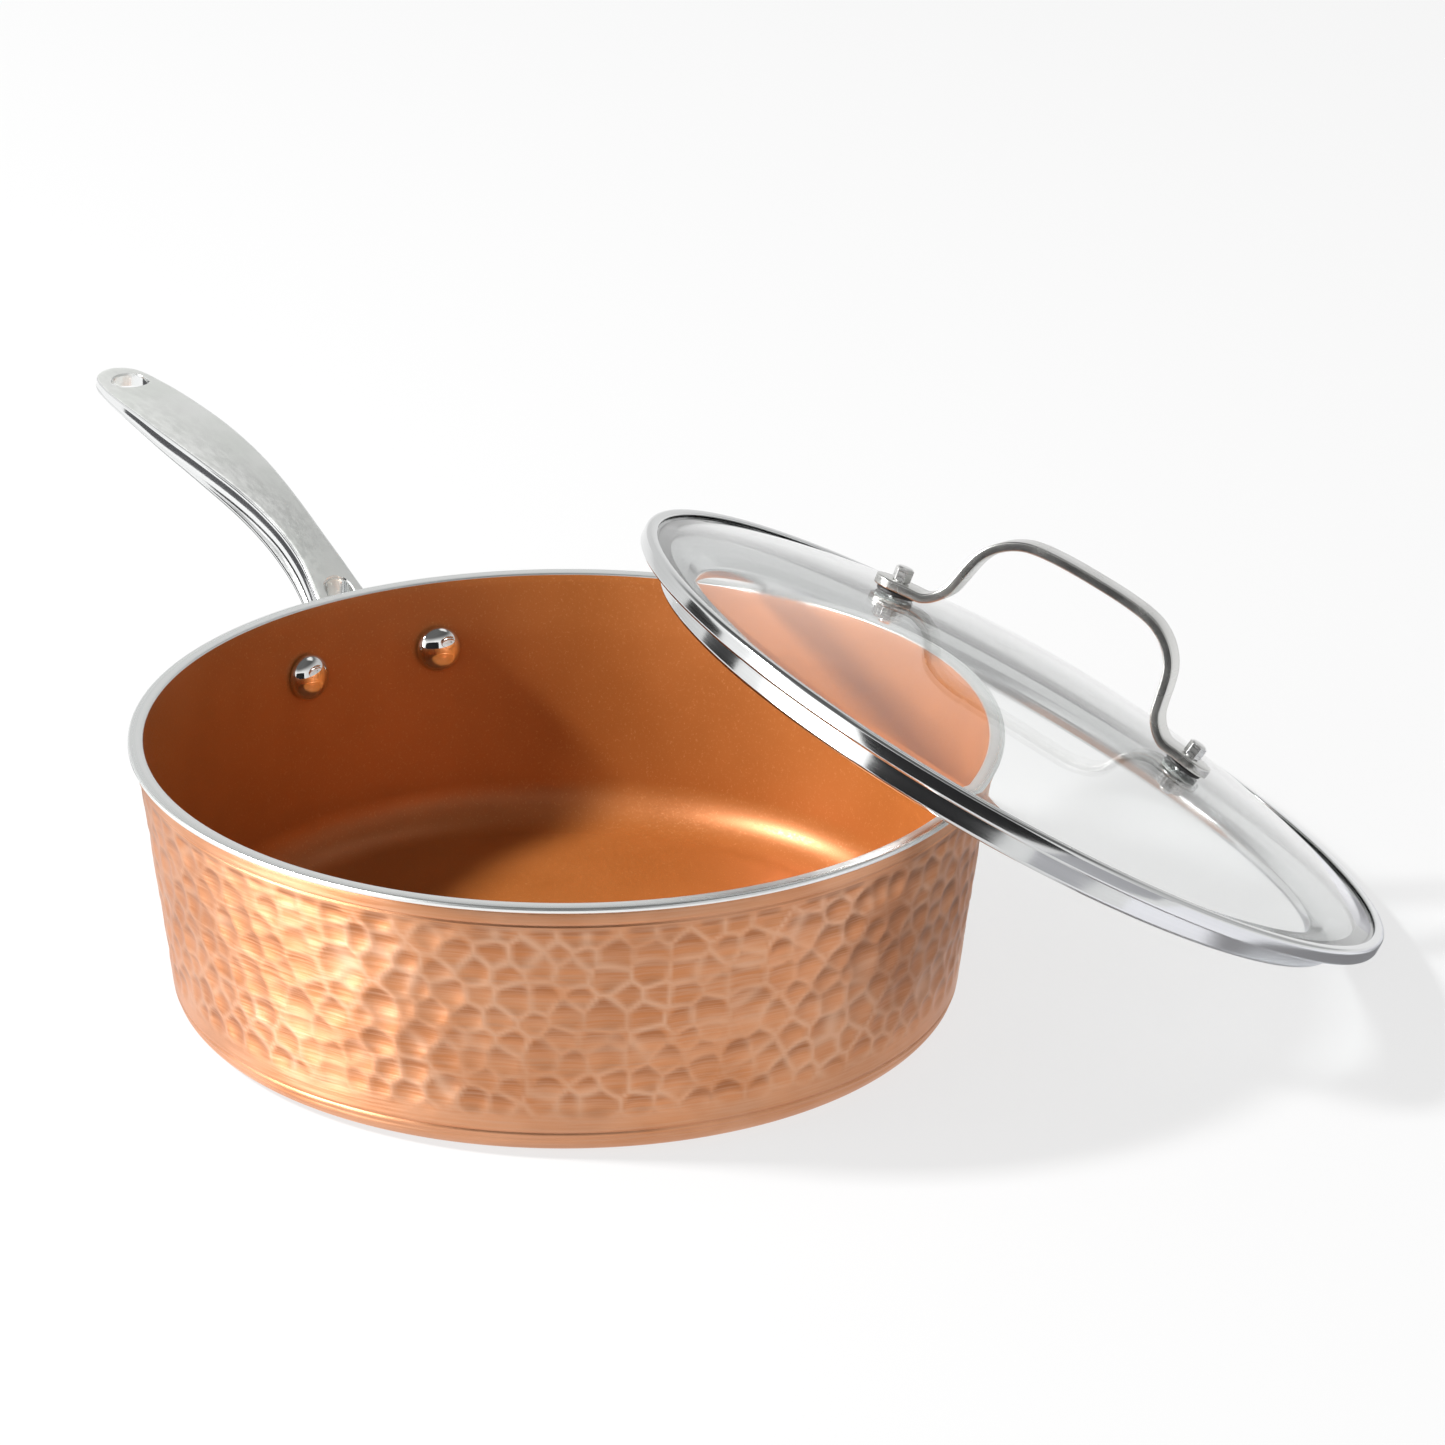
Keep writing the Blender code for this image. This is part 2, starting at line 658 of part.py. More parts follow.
def make_lid():
    """Glass, band, seal, strap handle and its two screw stacks."""
    glass = make_lid_glass(make_material("tempered_glass", (0.75, 0.85, 0.85), 0.0, 0.05))
    band = make_lid_band(make_material("band_steel", (0.66, 0.66, 0.66), 1.0, 0.15))
    seal = make_lid_seal(make_material("seal_silicone", (0.06, 0.06, 0.06), 0.0, 0.6))
    for piece in (glass, band, seal):
        piece.matrix_world = lid_frame()
    strap = make_lid_handle(make_material("strap_steel", (0.7, 0.7, 0.7), 1.0, 0.12))
    for label, side in (("a", -1), ("b", 1)):
        finishes = {
            "screw": make_material("screw_steel_" + label, (0.72, 0.72, 0.72), 1.0, 0.15),
            "gasket": make_material("gasket_silicone_" + label, (0.03, 0.03, 0.03), 0.0, 0.6),
            "washer": make_material("washer_steel_" + label, (0.6, 0.6, 0.6), 1.0, 0.25),
            "nut": make_material("nut_steel_" + label, (0.6, 0.6, 0.6), 1.0, 0.25),
        }
        make_screw_stack(label, side, finishes)
    drill_lid((glass, strap))


clear_scene()
PARTS = make_collection("saucepan_with_glass_lid", False)
CUTTERS = make_collection("cutters", True)
make_pan()
make_lid()
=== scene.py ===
"""Looks of the hammered copper saucepan and its leaning glass lid.

Lengths are metres in the model's frame: origin at the centre of the pan's base, +Z up, the pan's
handle along -X and the lid leaning down towards +Y. Every fine piece stands where its plain
counterpart stands and keeps inside its outline.
"""

import math

import bmesh
import bpy
import numpy as np
from mathutils import Matrix, Vector


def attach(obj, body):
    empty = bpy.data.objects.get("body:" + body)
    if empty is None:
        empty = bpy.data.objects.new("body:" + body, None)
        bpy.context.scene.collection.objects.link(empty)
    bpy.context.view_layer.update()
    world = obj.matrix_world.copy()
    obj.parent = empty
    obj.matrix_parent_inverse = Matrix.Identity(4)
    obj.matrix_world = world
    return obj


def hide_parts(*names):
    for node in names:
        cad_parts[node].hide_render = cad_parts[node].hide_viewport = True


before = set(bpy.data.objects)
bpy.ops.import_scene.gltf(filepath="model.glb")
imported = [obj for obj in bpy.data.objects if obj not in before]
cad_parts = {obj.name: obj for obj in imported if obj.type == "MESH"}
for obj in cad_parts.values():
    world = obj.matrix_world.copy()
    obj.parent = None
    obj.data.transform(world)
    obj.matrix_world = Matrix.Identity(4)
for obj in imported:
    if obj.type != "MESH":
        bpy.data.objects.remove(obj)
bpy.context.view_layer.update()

MM = 0.001
GAP = 0.3 * MM

# Viewpoint: a long lens, looking down on the pan, turned round the upright axis.
VIEW_TURN = math.radians(58.5)
VIEW_DROP = math.radians(22.831)
VIEW_ROLL = math.radians(0.412)
VIEW_AIM = Vector((0.04486, 0.0, 0.0834))
VIEW_DISTANCE = 2.0693
LENS = 180.37

# Pan.
RIM_RADIUS = 125.0 * MM
RIM_INNER = 120.6 * MM
RIM_TOP = 81.0 * MM
RIM_EDGE = 1.6 * MM
WALL_FOOT = 112.6 * MM
WALL_TAPER = 0.13
CORNER = 9.5 * MM
COPPER = 1.0 * MM
VESSEL = 2.5 * MM
COLLAR_FOOT = 74.8 * MM
FLOOR_TOP = 5.4 * MM
FLOOR_CORNER = 14.0 * MM
PLATE_RADIUS = 90.0 * MM
PLATE_HEIGHT = 2.8 * MM

# Hammer blows on the copper wall, on the wall rolled out flat.
HAMMER_TOP = 73.6 * MM
HAMMER_FOOT = 11.0 * MM
BLOW_SPACING = 9.3 * MM
BLOW_RISE = 6.9 * MM
BLOW_DEPTH = 0.55 * MM
BLOW_RADIUS = 18.0 * MM
WALL_COLUMNS = 700
WALL_ROWS = 72

# Pan handle, in the XZ plane on the -X side.
HANG_HOLE_AT = 272.1 * MM
HANG_HOLE_RADIUS = 5.8 * MM
ROOT_HOLE_AT = 134.1 * MM
ROOT_HOLE_LENGTH = 10.6 * MM
ROOT_HOLE_WIDTH = 8.8 * MM
FLANGE_THICK = 3.0 * MM
FLANGE_WIDTH = 60.0 * MM
FLANGE_LOW = 47.5 * MM
FLANGE_HIGH = 73.0 * MM

# Handle stations (mm): reach from the pan axis, height of the top, half widths of top and foot, depth.
HANDLE_STATIONS = (
    (111.0, 63.3, 12.9, 16.6, 17.4),
    (120.0, 68.3, 11.7, 14.7, 16.0),
    (128.4, 73.7, 9.6, 12.0, 13.0),
    (136.9, 78.6, 8.0, 10.1, 10.1),
    (145.9, 83.7, 6.9, 9.2, 9.5),
    (157.9, 88.6, 6.6, 9.0, 8.9),
    (171.0, 92.6, 7.3, 9.3, 8.7),
    (184.2, 95.5, 8.4, 10.0, 8.5),
    (198.5, 97.7, 9.7, 10.9, 8.2),
    (212.9, 99.2, 10.6, 11.4, 7.8),
    (229.4, 100.3, 11.1, 11.6, 7.2),
    (245.0, 100.9, 10.9, 11.3, 6.2),
    (259.7, 101.1, 10.4, 10.7, 5.2),
    (271.8, 101.1, 9.4, 9.7, 4.4),
    (277.6, 101.2, 8.4, 8.8, 4.1),
    (281.8, 101.2, 6.9, 7.2, 3.8),
    (284.5, 101.0, 4.4, 4.8, 3.4),
    (285.7, 100.7, 2.1, 2.4, 2.7),
    (286.0, 100.3, 0.3, 0.4, 1.9),
)

# Rivets through the wall.
RIVET_TURN = math.radians(11.0)
RIVET_HEIGHT = 61.0 * MM
RIVET_SHANK = 2.5 * MM
RIVET_HOLE = 2.8 * MM
RIVET_HEAD = 7.0 * MM
RIVET_RISE = 4.2 * MM
SET_HEAD = 4.5 * MM
RIVET_BORE = 15.0 * MM

# Lid, in its own frame: z = 0 is the foot of the locating lip, +Z the dome's axis, +X its downhill side.
LID_TILT = math.radians(29.8)
LID_HEADING = math.radians(75.1)
LID_REACH = 130.5 * MM
LID_LIFT = 55.8 * MM
BAND_RADIUS = 123.2 * MM
BAND_INNER = 119.9 * MM
BAND_TOP = 12.7 * MM
BAND_FOOT = 7.7 * MM
BAND_SHELF = 0.7 * MM
BAND_LEDGE = 0.6 * MM
LIP_RADIUS = 112.6 * MM
LIP_INNER = 102.0 * MM
GLASS_RADIUS = 121.0 * MM
GLASS_EDGE_TOP = 11.6 * MM
GLASS_THICK = 3.0 * MM
DOME_FOOT = 118.6 * MM
DOME_RISE = 18.4 * MM

# Lid handle and the two screw stacks that hold it.
LID_HANDLE_TURN = math.radians(-35.2)
HANDLE_SHIFT = 1.5 * MM
SCREW_REACH = 49.2 * MM
SCREW_HOLE = 2.3 * MM
STRAP_WIDTH = 12.0 * MM
STRAP_THICK = 2.8 * MM
STRAP_EASE = 0.5 * MM
GASKET_THICK = 1.0 * MM
WASHER_THICK = 0.8 * MM
NUT_THICK = 3.0 * MM
SCREW_HEAD = 2.95 * MM
SCREW_BORE = 12.0 * MM

FINE_STEPS = 256
SMALL_STEPS = 64


# -------------- shapes

def arc(centre, radius, start, end, count):
    """Points on an arc in a (radius, height) plane; angles in degrees."""
    turns = np.radians(np.linspace(start, end, count))
    return [(centre[0] + radius * math.cos(t), centre[1] + radius * math.sin(t)) for t in turns]


def rounded(corners, closed=False, count=6):
    """A profile whose corners are (x, z, radius of the rounding); zero leaves a corner sharp."""
    points = []
    total = len(corners)
    for i, (x, z, radius) in enumerate(corners):
        at_end = not closed and i in (0, total - 1)
        here = Vector((x, z))
        if radius <= 0.0 or at_end:
            points.append((x, z))
            continue
        before = Vector(corners[i - 1][:2]) - here
        after = Vector(corners[(i + 1) % total][:2]) - here
        half = before.angle(after) / 2.0
        reach = min(radius / math.tan(half), 0.49 * before.length, 0.49 * after.length)
        radius = reach * math.tan(half)
        start = here + before.normalized() * reach
        end = here + after.normalized() * reach
        centre = here + (before.normalized() + after.normalized()).normalized() * radius / math.sin(half)
        first = start - centre
        sweep = first.angle_signed(end - centre)
        for step in range(count + 1):
            turned = first.copy()
            turned.rotate(Matrix.Rotation(-sweep * step / count, 2))
            points.append(tuple(centre + turned))
    return points


def smooth_rows(rows, spacing):
    """Rows of numbers read from a smooth curve through the given rows, about a spacing apart."""
    rows = np.array(rows, float)
    chord = np.linalg.norm(np.diff(rows, axis=0), axis=1)
    at = np.concatenate(([0.0], np.cumsum(chord)))
    slope = np.gradient(rows, at, axis=0)
    result = []
    for i, length in enumerate(chord):
        count = max(1, math.ceil(length / spacing))
        t = np.linspace(0.0, 1.0, count, endpoint=False)[:, None]
        result.append(
            (2 * t**3 - 3 * t**2 + 1) * rows[i] + (t**3 - 2 * t**2 + t) * length * slope[i]
            + (3 * t**2 - 2 * t**3) * rows[i + 1] + (t**3 - t**2) * length * slope[i + 1])
    result.append(rows[-1:])
    return np.concatenate(result)


def add_piece(name, points, faces, smooth_angle=35.0):
    """A closed mesh with its faces pointing out, smooth up to an angle."""
    mesh = bpy.data.meshes.new(name)
    mesh.from_pydata([tuple(point) for point in points], [], faces)
    obj = bpy.data.objects.new(name, mesh)
    bpy.context.scene.collection.objects.link(obj)
    face_out(obj)
    shade(obj, smooth_angle)
    return obj


def face_out(obj):
    """Turns every face outwards."""
    shape = bmesh.new()
    shape.from_mesh(obj.data)
    bmesh.ops.recalc_face_normals(shape, faces=shape.faces)
    shape.to_mesh(obj.data)
    shape.free()


def shade(obj, angle):
    """Smooth shading that breaks at edges sharper than the angle."""
    obj.data.shade_smooth()
    obj.data.set_sharp_from_angle(angle=math.radians(angle))


def rounded_box(half_a, half_b, radius, count):
    """A rectangle's outline with rounded corners."""
    outline = []
    for side_a, side_b, start in ((1, 1, 0), (-1, 1, 90), (-1, -1, 180), (1, -1, 270)):
        corner = (side_a * (half_a - radius), side_b * (half_b - radius))
        outline += arc(corner, radius, start, start + 90, count)
    return outline


def ring_faces(rows, columns, wrap_rows):
    """Quads between rows of points that each run once round."""
    faces = []
    for i in range(rows if wrap_rows else rows - 1):
        near = i * columns
        far = (i + 1) % rows * columns
        for j in range(columns):
            after = (j + 1) % columns
            faces.append((near + j, near + after, far + after, far + j))
    return faces


def fan_ends(faces, centre, rows, columns):
    """Closes the first and last row of points onto two centre points that follow each other."""
    last = (rows - 1) * columns
    for j in range(columns):
        after = (j + 1) % columns
        faces.append((centre, after, j))
        faces.append((centre + 1, last + j, last + after))


def turned(name, profile, steps=FINE_STEPS, closed=False, smooth_angle=35.0):
    """A solid of revolution. An open profile starts and ends on the axis."""
    body = list(profile) if closed else list(profile)[1:-1]
    turns = np.linspace(0.0, 2.0 * math.pi, steps, endpoint=False)
    points = []
    for radius, height in body:
        points += [(radius * math.cos(t), radius * math.sin(t), height) for t in turns]
    faces = ring_faces(len(body), steps, closed)
    if not closed:
        fan_ends(faces, len(points), len(body), steps)
        points += [(0.0, 0.0, profile[0][1]), (0.0, 0.0, profile[-1][1])]
    return add_piece(name, points, faces, smooth_angle)


def lofted(name, rings, smooth_angle=35.0):
    """Skin over rings of points that match one to one, closed with a face at each end."""
    count = len(rings[0])
    points = [point for ring in rings for point in ring]
    faces = ring_faces(len(rings), count, False)
    faces.append(tuple(range(count)))
    faces.append(tuple(len(points) - 1 - i for i in range(count)))
    return add_piece(name, points, faces, smooth_angle)


def prism(name, outline, low, high):
    """A plate with the given outline in XY, from low to high in Z."""
    return lofted(name, [[(x, y, z) for x, y in outline] for z in (low, high)])


def combine(obj, other, operation, smooth_angle=35.0):
    """Applies an exact Boolean with another object, which is used up."""
    boolean = obj.modifiers.new(operation.lower(), "BOOLEAN")
    boolean.operation = operation
    boolean.solver = "EXACT"
    boolean.object = other
    bpy.context.view_layer.update()
    graph = bpy.context.evaluated_depsgraph_get()
    mesh = bpy.data.meshes.new_from_object(obj.evaluated_get(graph))
    obj.modifiers.clear()
    old = obj.data
    obj.data = mesh
    bpy.data.meshes.remove(old)
    mesh.name = obj.name
    bpy.data.objects.remove(other)
    shade(obj, smooth_angle)


def settle(obj):
    """Puts a piece's place into its mesh, and keeps each point's place in the piece's own frame."""
    own = np.zeros(len(obj.data.vertices) * 3)
    obj.data.vertices.foreach_get("co", own)
    obj.data.attributes.new("own_place", "FLOAT_VECTOR", "POINT").data.foreach_set("vector", own)
    obj.data.transform(obj.matrix_world)
    obj.matrix_world = Matrix.Identity(4)


def finish_piece(obj, body, nodes, slot, *materials):
    """Gives a piece its materials and body, and hides the plain nodes it stands for; the record slot is not
    used.
    """
    settle(obj)
    obj.data.materials.clear()
    for material in materials:
        obj.data.materials.append(material)
    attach(obj, body)
    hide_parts(*nodes)


# -------------- materials

def new_material(name, colour, metallic, roughness):
    """A Principled BSDF and its node tree."""
    material = bpy.data.materials.new(name)
    material.use_nodes = True
    tree = material.node_tree
    shader = tree.nodes["Principled BSDF"]
    shader.inputs["Base Color"].default_value = (*colour, 1.0)
    shader.inputs["Metallic"].default_value = metallic
    shader.inputs["Roughness"].default_value = roughness
    return material, tree, shader


def node(tree, kind, inputs, **settings):
    """A node with its settings; an input is a value or another node's output."""
    made = tree.nodes.new(kind)
    for key, value in settings.items():
        setattr(made, key, value)
    for key, value in inputs.items():
        if isinstance(value, bpy.types.NodeSocket):
            tree.links.new(value, made.inputs[key])
        else:
            made.inputs[key].default_value = value
    return made


def object_point(tree):
    """The point on the piece, in its own frame."""
    return node(tree, "ShaderNodeAttribute", {}, attribute_name="own_place").outputs["Vector"]


def stretched_noise(tree, scale, detail=3.0, roughness=0.55):
    """Noise stretched along the axes with the smaller scale, per metre."""
    placed = node(tree, "ShaderNodeMapping", {"Vector": object_point(tree), "Scale": scale})
    inputs = {"Vector": placed.outputs["Vector"], "Scale": 1.0, "Detail": detail, "Roughness": roughness}
    return node(tree, "ShaderNodeTexNoise", inputs).outputs["Fac"]


def turned_noise(tree, lines, detail=2.0):
    """Noise that changes with the distance from the piece's own axis only: lathe marks."""
    parts = node(tree, "ShaderNodeSeparateXYZ", {"Vector": object_point(tree)})
    flat = node(tree, "ShaderNodeCombineXYZ", {0: parts.outputs["X"], 1: parts.outputs["Y"]})
    reach = node(tree, "ShaderNodeVectorMath", {0: flat.outputs["Vector"]}, operation="LENGTH")
    placed = node(tree, "ShaderNodeCombineXYZ", {0: reach.outputs["Value"], 2: parts.outputs["Z"]})
    inputs = {"Vector": placed.outputs["Vector"], "Scale": lines, "Detail": detail}
    return node(tree, "ShaderNodeTexNoise", inputs).outputs["Fac"]


def mapped(tree, value, low, high, out_low=0.0, out_high=1.0):
    """A value rescaled from one span to another, and held inside it."""
    inputs = {"Value": value, "From Min": low, "From Max": high, "To Min": out_low, "To Max": out_high}
    return node(tree, "ShaderNodeMapRange", inputs, interpolation_type="SMOOTHSTEP").outputs["Result"]


def blend_colour(tree, factor, first, second):
    """A colour between two colours or colour outputs."""
    mix = node(tree, "ShaderNodeMix", {"Factor": factor}, data_type="RGBA")
    for key, value in ((6, first), (7, second)):
        if isinstance(value, bpy.types.NodeSocket):
            tree.links.new(value, mix.inputs[key])
        else:
            mix.inputs[key].default_value = (*value, 1.0)
    return mix.outputs[2]


def calc(tree, operation, first, second=0.0):
    """One sum on values or outputs."""
    return node(tree, "ShaderNodeMath", {0: first, 1: second}, operation=operation).outputs["Value"]


def bump(tree, shader, height, distance, strength=1.0):
    """Fine relief from a height output."""
    inputs = {"Height": height, "Distance": distance, "Strength": strength}
    made = node(tree, "ShaderNodeBump", inputs)
    tree.links.new(made.outputs["Normal"], shader.inputs["Normal"])


def set_look(tree, shader, colour, roughness):
    """Drives a shader's colour and roughness from outputs."""
    tree.links.new(colour, shader.inputs["Base Color"])
    tree.links.new(roughness, shader.inputs["Roughness"])


def copper_material():
    """Hammered copper: pale rubbed ridges, painted shade where the hollows face down, fine brushing round
    the wall.
    """
    material, tree, shader = new_material("hammered_copper", (0.8, 0.42, 0.24), 1.0, 0.34)
    ridge = node(tree, "ShaderNodeAttribute", {}, attribute_name="ridge").outputs["Fac"]
    streak = stretched_noise(tree, (45.0, 45.0, 1500.0), 4.0, 0.6)
    patch = stretched_noise(tree, (38.0, 38.0, 60.0), 2.0)
    cloud = stretched_noise(tree, (32.0, 32.0, 40.0), 2.0)
    # Painted shade: turns the copper dark brown where the hammered wall faces down, at the top of each
    # hollow.
    painted_shade = node(tree, "ShaderNodeAttribute", {}, attribute_name="painted_shade").outputs["Fac"]
    bright = blend_colour(tree, mapped(tree, patch, 0.35, 0.65), (0.60, 0.24, 0.101), (0.71, 0.312, 0.148))
    hollow = blend_colour(tree, mapped(tree, painted_shade, 0.35, 1.0, 0.0, 0.85), bright, (0.36, 0.13, 0.05))
    rubbing = calc(tree, "MULTIPLY", ridge, mapped(tree, cloud, 0.35, 0.65, 0.15, 0.6))
    rubbed = blend_colour(tree, rubbing, hollow, (0.84, 0.53, 0.36))
    brushed = blend_colour(tree, mapped(tree, streak, 0.35, 0.75, 0.0, 0.34), rubbed, (0.82, 0.52, 0.355))
    set_look(tree, shader, brushed, mapped(tree, streak, 0.25, 0.75, 0.34, 0.46))
    shader.inputs["Anisotropic"].default_value = 0.75
    shader.inputs["Anisotropic Rotation"].default_value = 0.25
    tangent = node(tree, "ShaderNodeTangent", {}, direction_type="RADIAL", axis="Z")
    tree.links.new(tangent.outputs["Tangent"], shader.inputs["Tangent"])
    bump(tree, shader, streak, 0.05 * MM, 0.5)
    return material


def aluminium_material():
    """Satin spun aluminium with lathe marks."""
    material, tree, shader = new_material("spun_aluminium", (0.86, 0.88, 0.87), 1.0, 0.3)
    marks = turned_noise(tree, 1500.0)
    tone = blend_colour(tree, mapped(tree, marks, 0.35, 0.65), (0.80, 0.82, 0.81), (0.9, 0.91, 0.9))
    set_look(tree, shader, tone, mapped(tree, marks, 0.3, 0.7, 0.24, 0.42))
    bump(tree, shader, marks, 0.01 * MM, 0.15)
    return material


def ceramic_material():
    """Copper-coloured non-stick coating: fine flakes in a satin glaze."""
    material, tree, shader = new_material("copper_ceramic", (0.39, 0.125, 0.027), 0.3, 0.38)
    grain = stretched_noise(tree, (1400.0, 1400.0, 1400.0), 2.0, 0.7)
    cloud = stretched_noise(tree, (22.0, 22.0, 22.0), 3.0)
    deep = blend_colour(tree, mapped(tree, cloud, 0.3, 0.7), (0.37, 0.117, 0.023), (0.42, 0.138, 0.031))
    flake = blend_colour(tree, mapped(tree, grain, 0.55, 0.75, 0.0, 0.4), deep, (0.60, 0.27, 0.10))
    shader.inputs["Specular IOR Level"].default_value = 0.42
    set_look(tree, shader, flake, mapped(tree, grain, 0.3, 0.7, 0.34, 0.46))
    bump(tree, shader, grain, 0.02 * MM, 0.3)
    return material


def cast_steel_material():
    """Cast handle steel: satin over the top, polished where the sides turn away."""
    material, tree, shader = new_material("cast_steel", (0.78, 0.79, 0.77), 1.0, 0.3)
    normal = node(tree, "ShaderNodeNewGeometry", {}).outputs["Normal"]
    side = node(tree, "ShaderNodeSeparateXYZ", {"Vector": normal}).outputs["Y"]
    polish = mapped(tree, calc(tree, "ABSOLUTE", side), 0.3, 0.7)
    grain = stretched_noise(tree, (160.0, 900.0, 900.0), 1.0)
    cloud = stretched_noise(tree, (40.0, 40.0, 40.0), 2.0)
    satin = mapped(tree, grain, 0.3, 0.7, 0.47, 0.52)
    mirror = mapped(tree, cloud, 0.3, 0.7, 0.07, 0.13)
    spread = node(tree, "ShaderNodeMix", {"Factor": polish, 2: satin, 3: mirror}, data_type="FLOAT")
    top = blend_colour(tree, mapped(tree, cloud, 0.3, 0.7), (0.84, 0.86, 0.83), (0.90, 0.91, 0.89))
    set_look(tree, shader, blend_colour(tree, polish, top, (0.82, 0.83, 0.83)), spread.outputs[0])
    bump(tree, shader, grain, 0.005 * MM, 0.05)
    return material


def polished_material(name, colour, roughness, marks_per_metre, relief):
    """Bright metal with faint wheel marks in its gloss."""
    material, tree, shader = new_material(name, colour, 1.0, roughness)
    marks = turned_noise(tree, marks_per_metre)
    gloss = mapped(tree, marks, 0.3, 0.7, 0.85 * roughness, 1.2 * roughness)
    dull = tuple(0.94 * part for part in colour)
    tone = blend_colour(tree, mapped(tree, marks, 0.3, 0.7), dull, colour)
    set_look(tree, shader, tone, gloss)
    bump(tree, shader, marks, relief, 0.15)
    return material


def silicone_material(name, colour):
    """Matt silicone with a faint moulded grain."""
    material, tree, shader = new_material(name, colour, 0.0, 0.55)
    grain = stretched_noise(tree, (3000.0, 3000.0, 3000.0), 2.0)
    paler = tuple(1.6 * part for part in colour)
    tone = blend_colour(tree, mapped(tree, grain, 0.4, 0.7), colour, paler)
    set_look(tree, shader, tone, mapped(tree, grain, 0.3, 0.7, 0.45, 0.65))
    bump(tree, shader, grain, 0.02 * MM, 0.4)
    return material


def glass_material():
    """Clear toughened glass with a faint cool tint; it lets most light through in shadows."""
    material, tree, shader = new_material("toughened_glass", (0.985, 0.995, 0.993), 0.0, 0.0)
    shader.inputs["Transmission Weight"].default_value = 1.0
    shader.inputs["IOR"].default_value = 1.5
    smear = stretched_noise(tree, (30.0, 30.0, 30.0), 3.0)
    tree.links.new(mapped(tree, smear, 0.35, 0.7, 0.0, 0.03), shader.inputs["Roughness"])
    clear = node(tree, "ShaderNodeBsdfTransparent", {"Color": (0.88, 0.90, 0.90, 1.0)})
    path = node(tree, "ShaderNodeLightPath", {})
    mix = node(tree, "ShaderNodeMixShader", {0: path.outputs["Is Shadow Ray"], 1: shader.outputs["BSDF"],
                                             2: clear.outputs["BSDF"]})
    tree.links.new(mix.outputs["Shader"], tree.nodes["Material Output"].inputs["Surface"])
    return material


# -------------- pan

def wall_at(height):
    """Outer radius of the copper wall at a height."""
    return WALL_FOOT + WALL_TAPER * height


def foot_arc(inset, count, high=0.0, low=-90.0):
    """The rounded foot of the wall, moved inward by the inset."""
    return arc((wall_at(CORNER) - CORNER, CORNER), CORNER - inset, high, low, count)


def rivet_frame(side):
    """A frame on the inner wall at a rivet, its Z pointing out through the wall."""
    turn = math.pi + side * RIVET_TURN
    lean = math.atan(WALL_TAPER)
    out = Vector((math.cos(turn) * math.cos(lean), math.sin(turn) * math.cos(lean), -math.sin(lean)))
    radius = wall_at(RIVET_HEIGHT) - COPPER - GAP - VESSEL
    place = Vector((radius * math.cos(turn), radius * math.sin(turn), RIVET_HEIGHT))
    return Matrix.Translation(place) @ out.to_track_quat("Z", "Y").to_matrix().to_4x4()


def drill(obj, radius, place, reach, smooth_angle=35.0):
    """Bores a round hole along a frame's Z."""
    profile = [(0.0, reach), (radius, reach), (radius, -reach), (0.0, -reach)]
    cutter = turned("drill", profile, SMALL_STEPS)
    cutter.matrix_world = place
    combine(obj, cutter, "DIFFERENCE", smooth_angle)


def make_vessel(aluminium, ceramic):
    """The spun vessel with its rolled rim; the ceramic covers the inside up to the rim."""
    skin = COPPER + GAP
    inset = skin + VESSEL
    centre = (wall_at(FLOOR_TOP + FLOOR_CORNER) - inset - FLOOR_CORNER, FLOOR_TOP + FLOOR_CORNER)
    inside = [(0.0, FLOOR_TOP)]
    inside += [(centre[0] * share, FLOOR_TOP) for share in (0.25, 0.5, 0.75)]
    inside += arc(centre, FLOOR_CORNER, -90.0, 0.0, 17)
    inside += [(wall_at(z * MM) - inset, z * MM) for z in (24.0, 32.0, 40.0, 48.0)]
    rim = rounded([
        (wall_at(54.0 * MM) - inset, 54.0 * MM, 0.0),
        (wall_at(64.0 * MM) - inset + 0.1 * MM, 64.0 * MM, 60.0 * MM),
        (RIM_INNER - 0.6 * MM, RIM_TOP - 2.6 * MM, 4.0 * MM),
        (RIM_INNER, RIM_TOP, 0.7 * MM),
        (RIM_RADIUS, RIM_TOP, 0.75 * MM),
        (RIM_RADIUS - 0.1 * MM, RIM_TOP - RIM_EDGE, 0.5 * MM),
        (wall_at(79.0 * MM) - skin + 0.9 * MM, RIM_TOP - RIM_EDGE, 0.3 * MM),
        (wall_at(76.5 * MM) - skin, 76.5 * MM, 2.0 * MM),
        (wall_at(72.0 * MM) - skin - 0.3 * MM, 72.0 * MM, 0.0),
    ])
    outside = foot_arc(skin, 10)
    outside += [(PLATE_RADIUS + 1.0 * MM, skin), (PLATE_RADIUS + 0.6 * MM, PLATE_HEIGHT + GAP)]
    obj = turned("pan_vessel", inside + rim + outside + [(0.0, PLATE_HEIGHT + GAP)])
    for side in (1, -1):
        drill(obj, RIVET_HOLE, rivet_frame(side), RIVET_BORE)
    finish_piece(obj, "pan", ["pan_body"], "vessel_aluminium", aluminium, ceramic)
    coat_inside(obj)


def coat_inside(obj):
    """Gives the second material to the faces inside the vessel, up to the rim's inner edge."""
    for face in obj.data.polygons:
        reach = math.hypot(face.center.x, face.center.y)
        skin_middle = wall_at(face.center.z) - COPPER - GAP - VESSEL / 2.0
        on_wall = reach < min(skin_middle, RIM_INNER + 0.05 * MM) and face.center.z < RIM_TOP - 0.25 * MM
        above_floor = face.center.z > FLOOR_TOP - 0.1 * MM
        face.material_index = 1 if on_wall and above_floor else 0


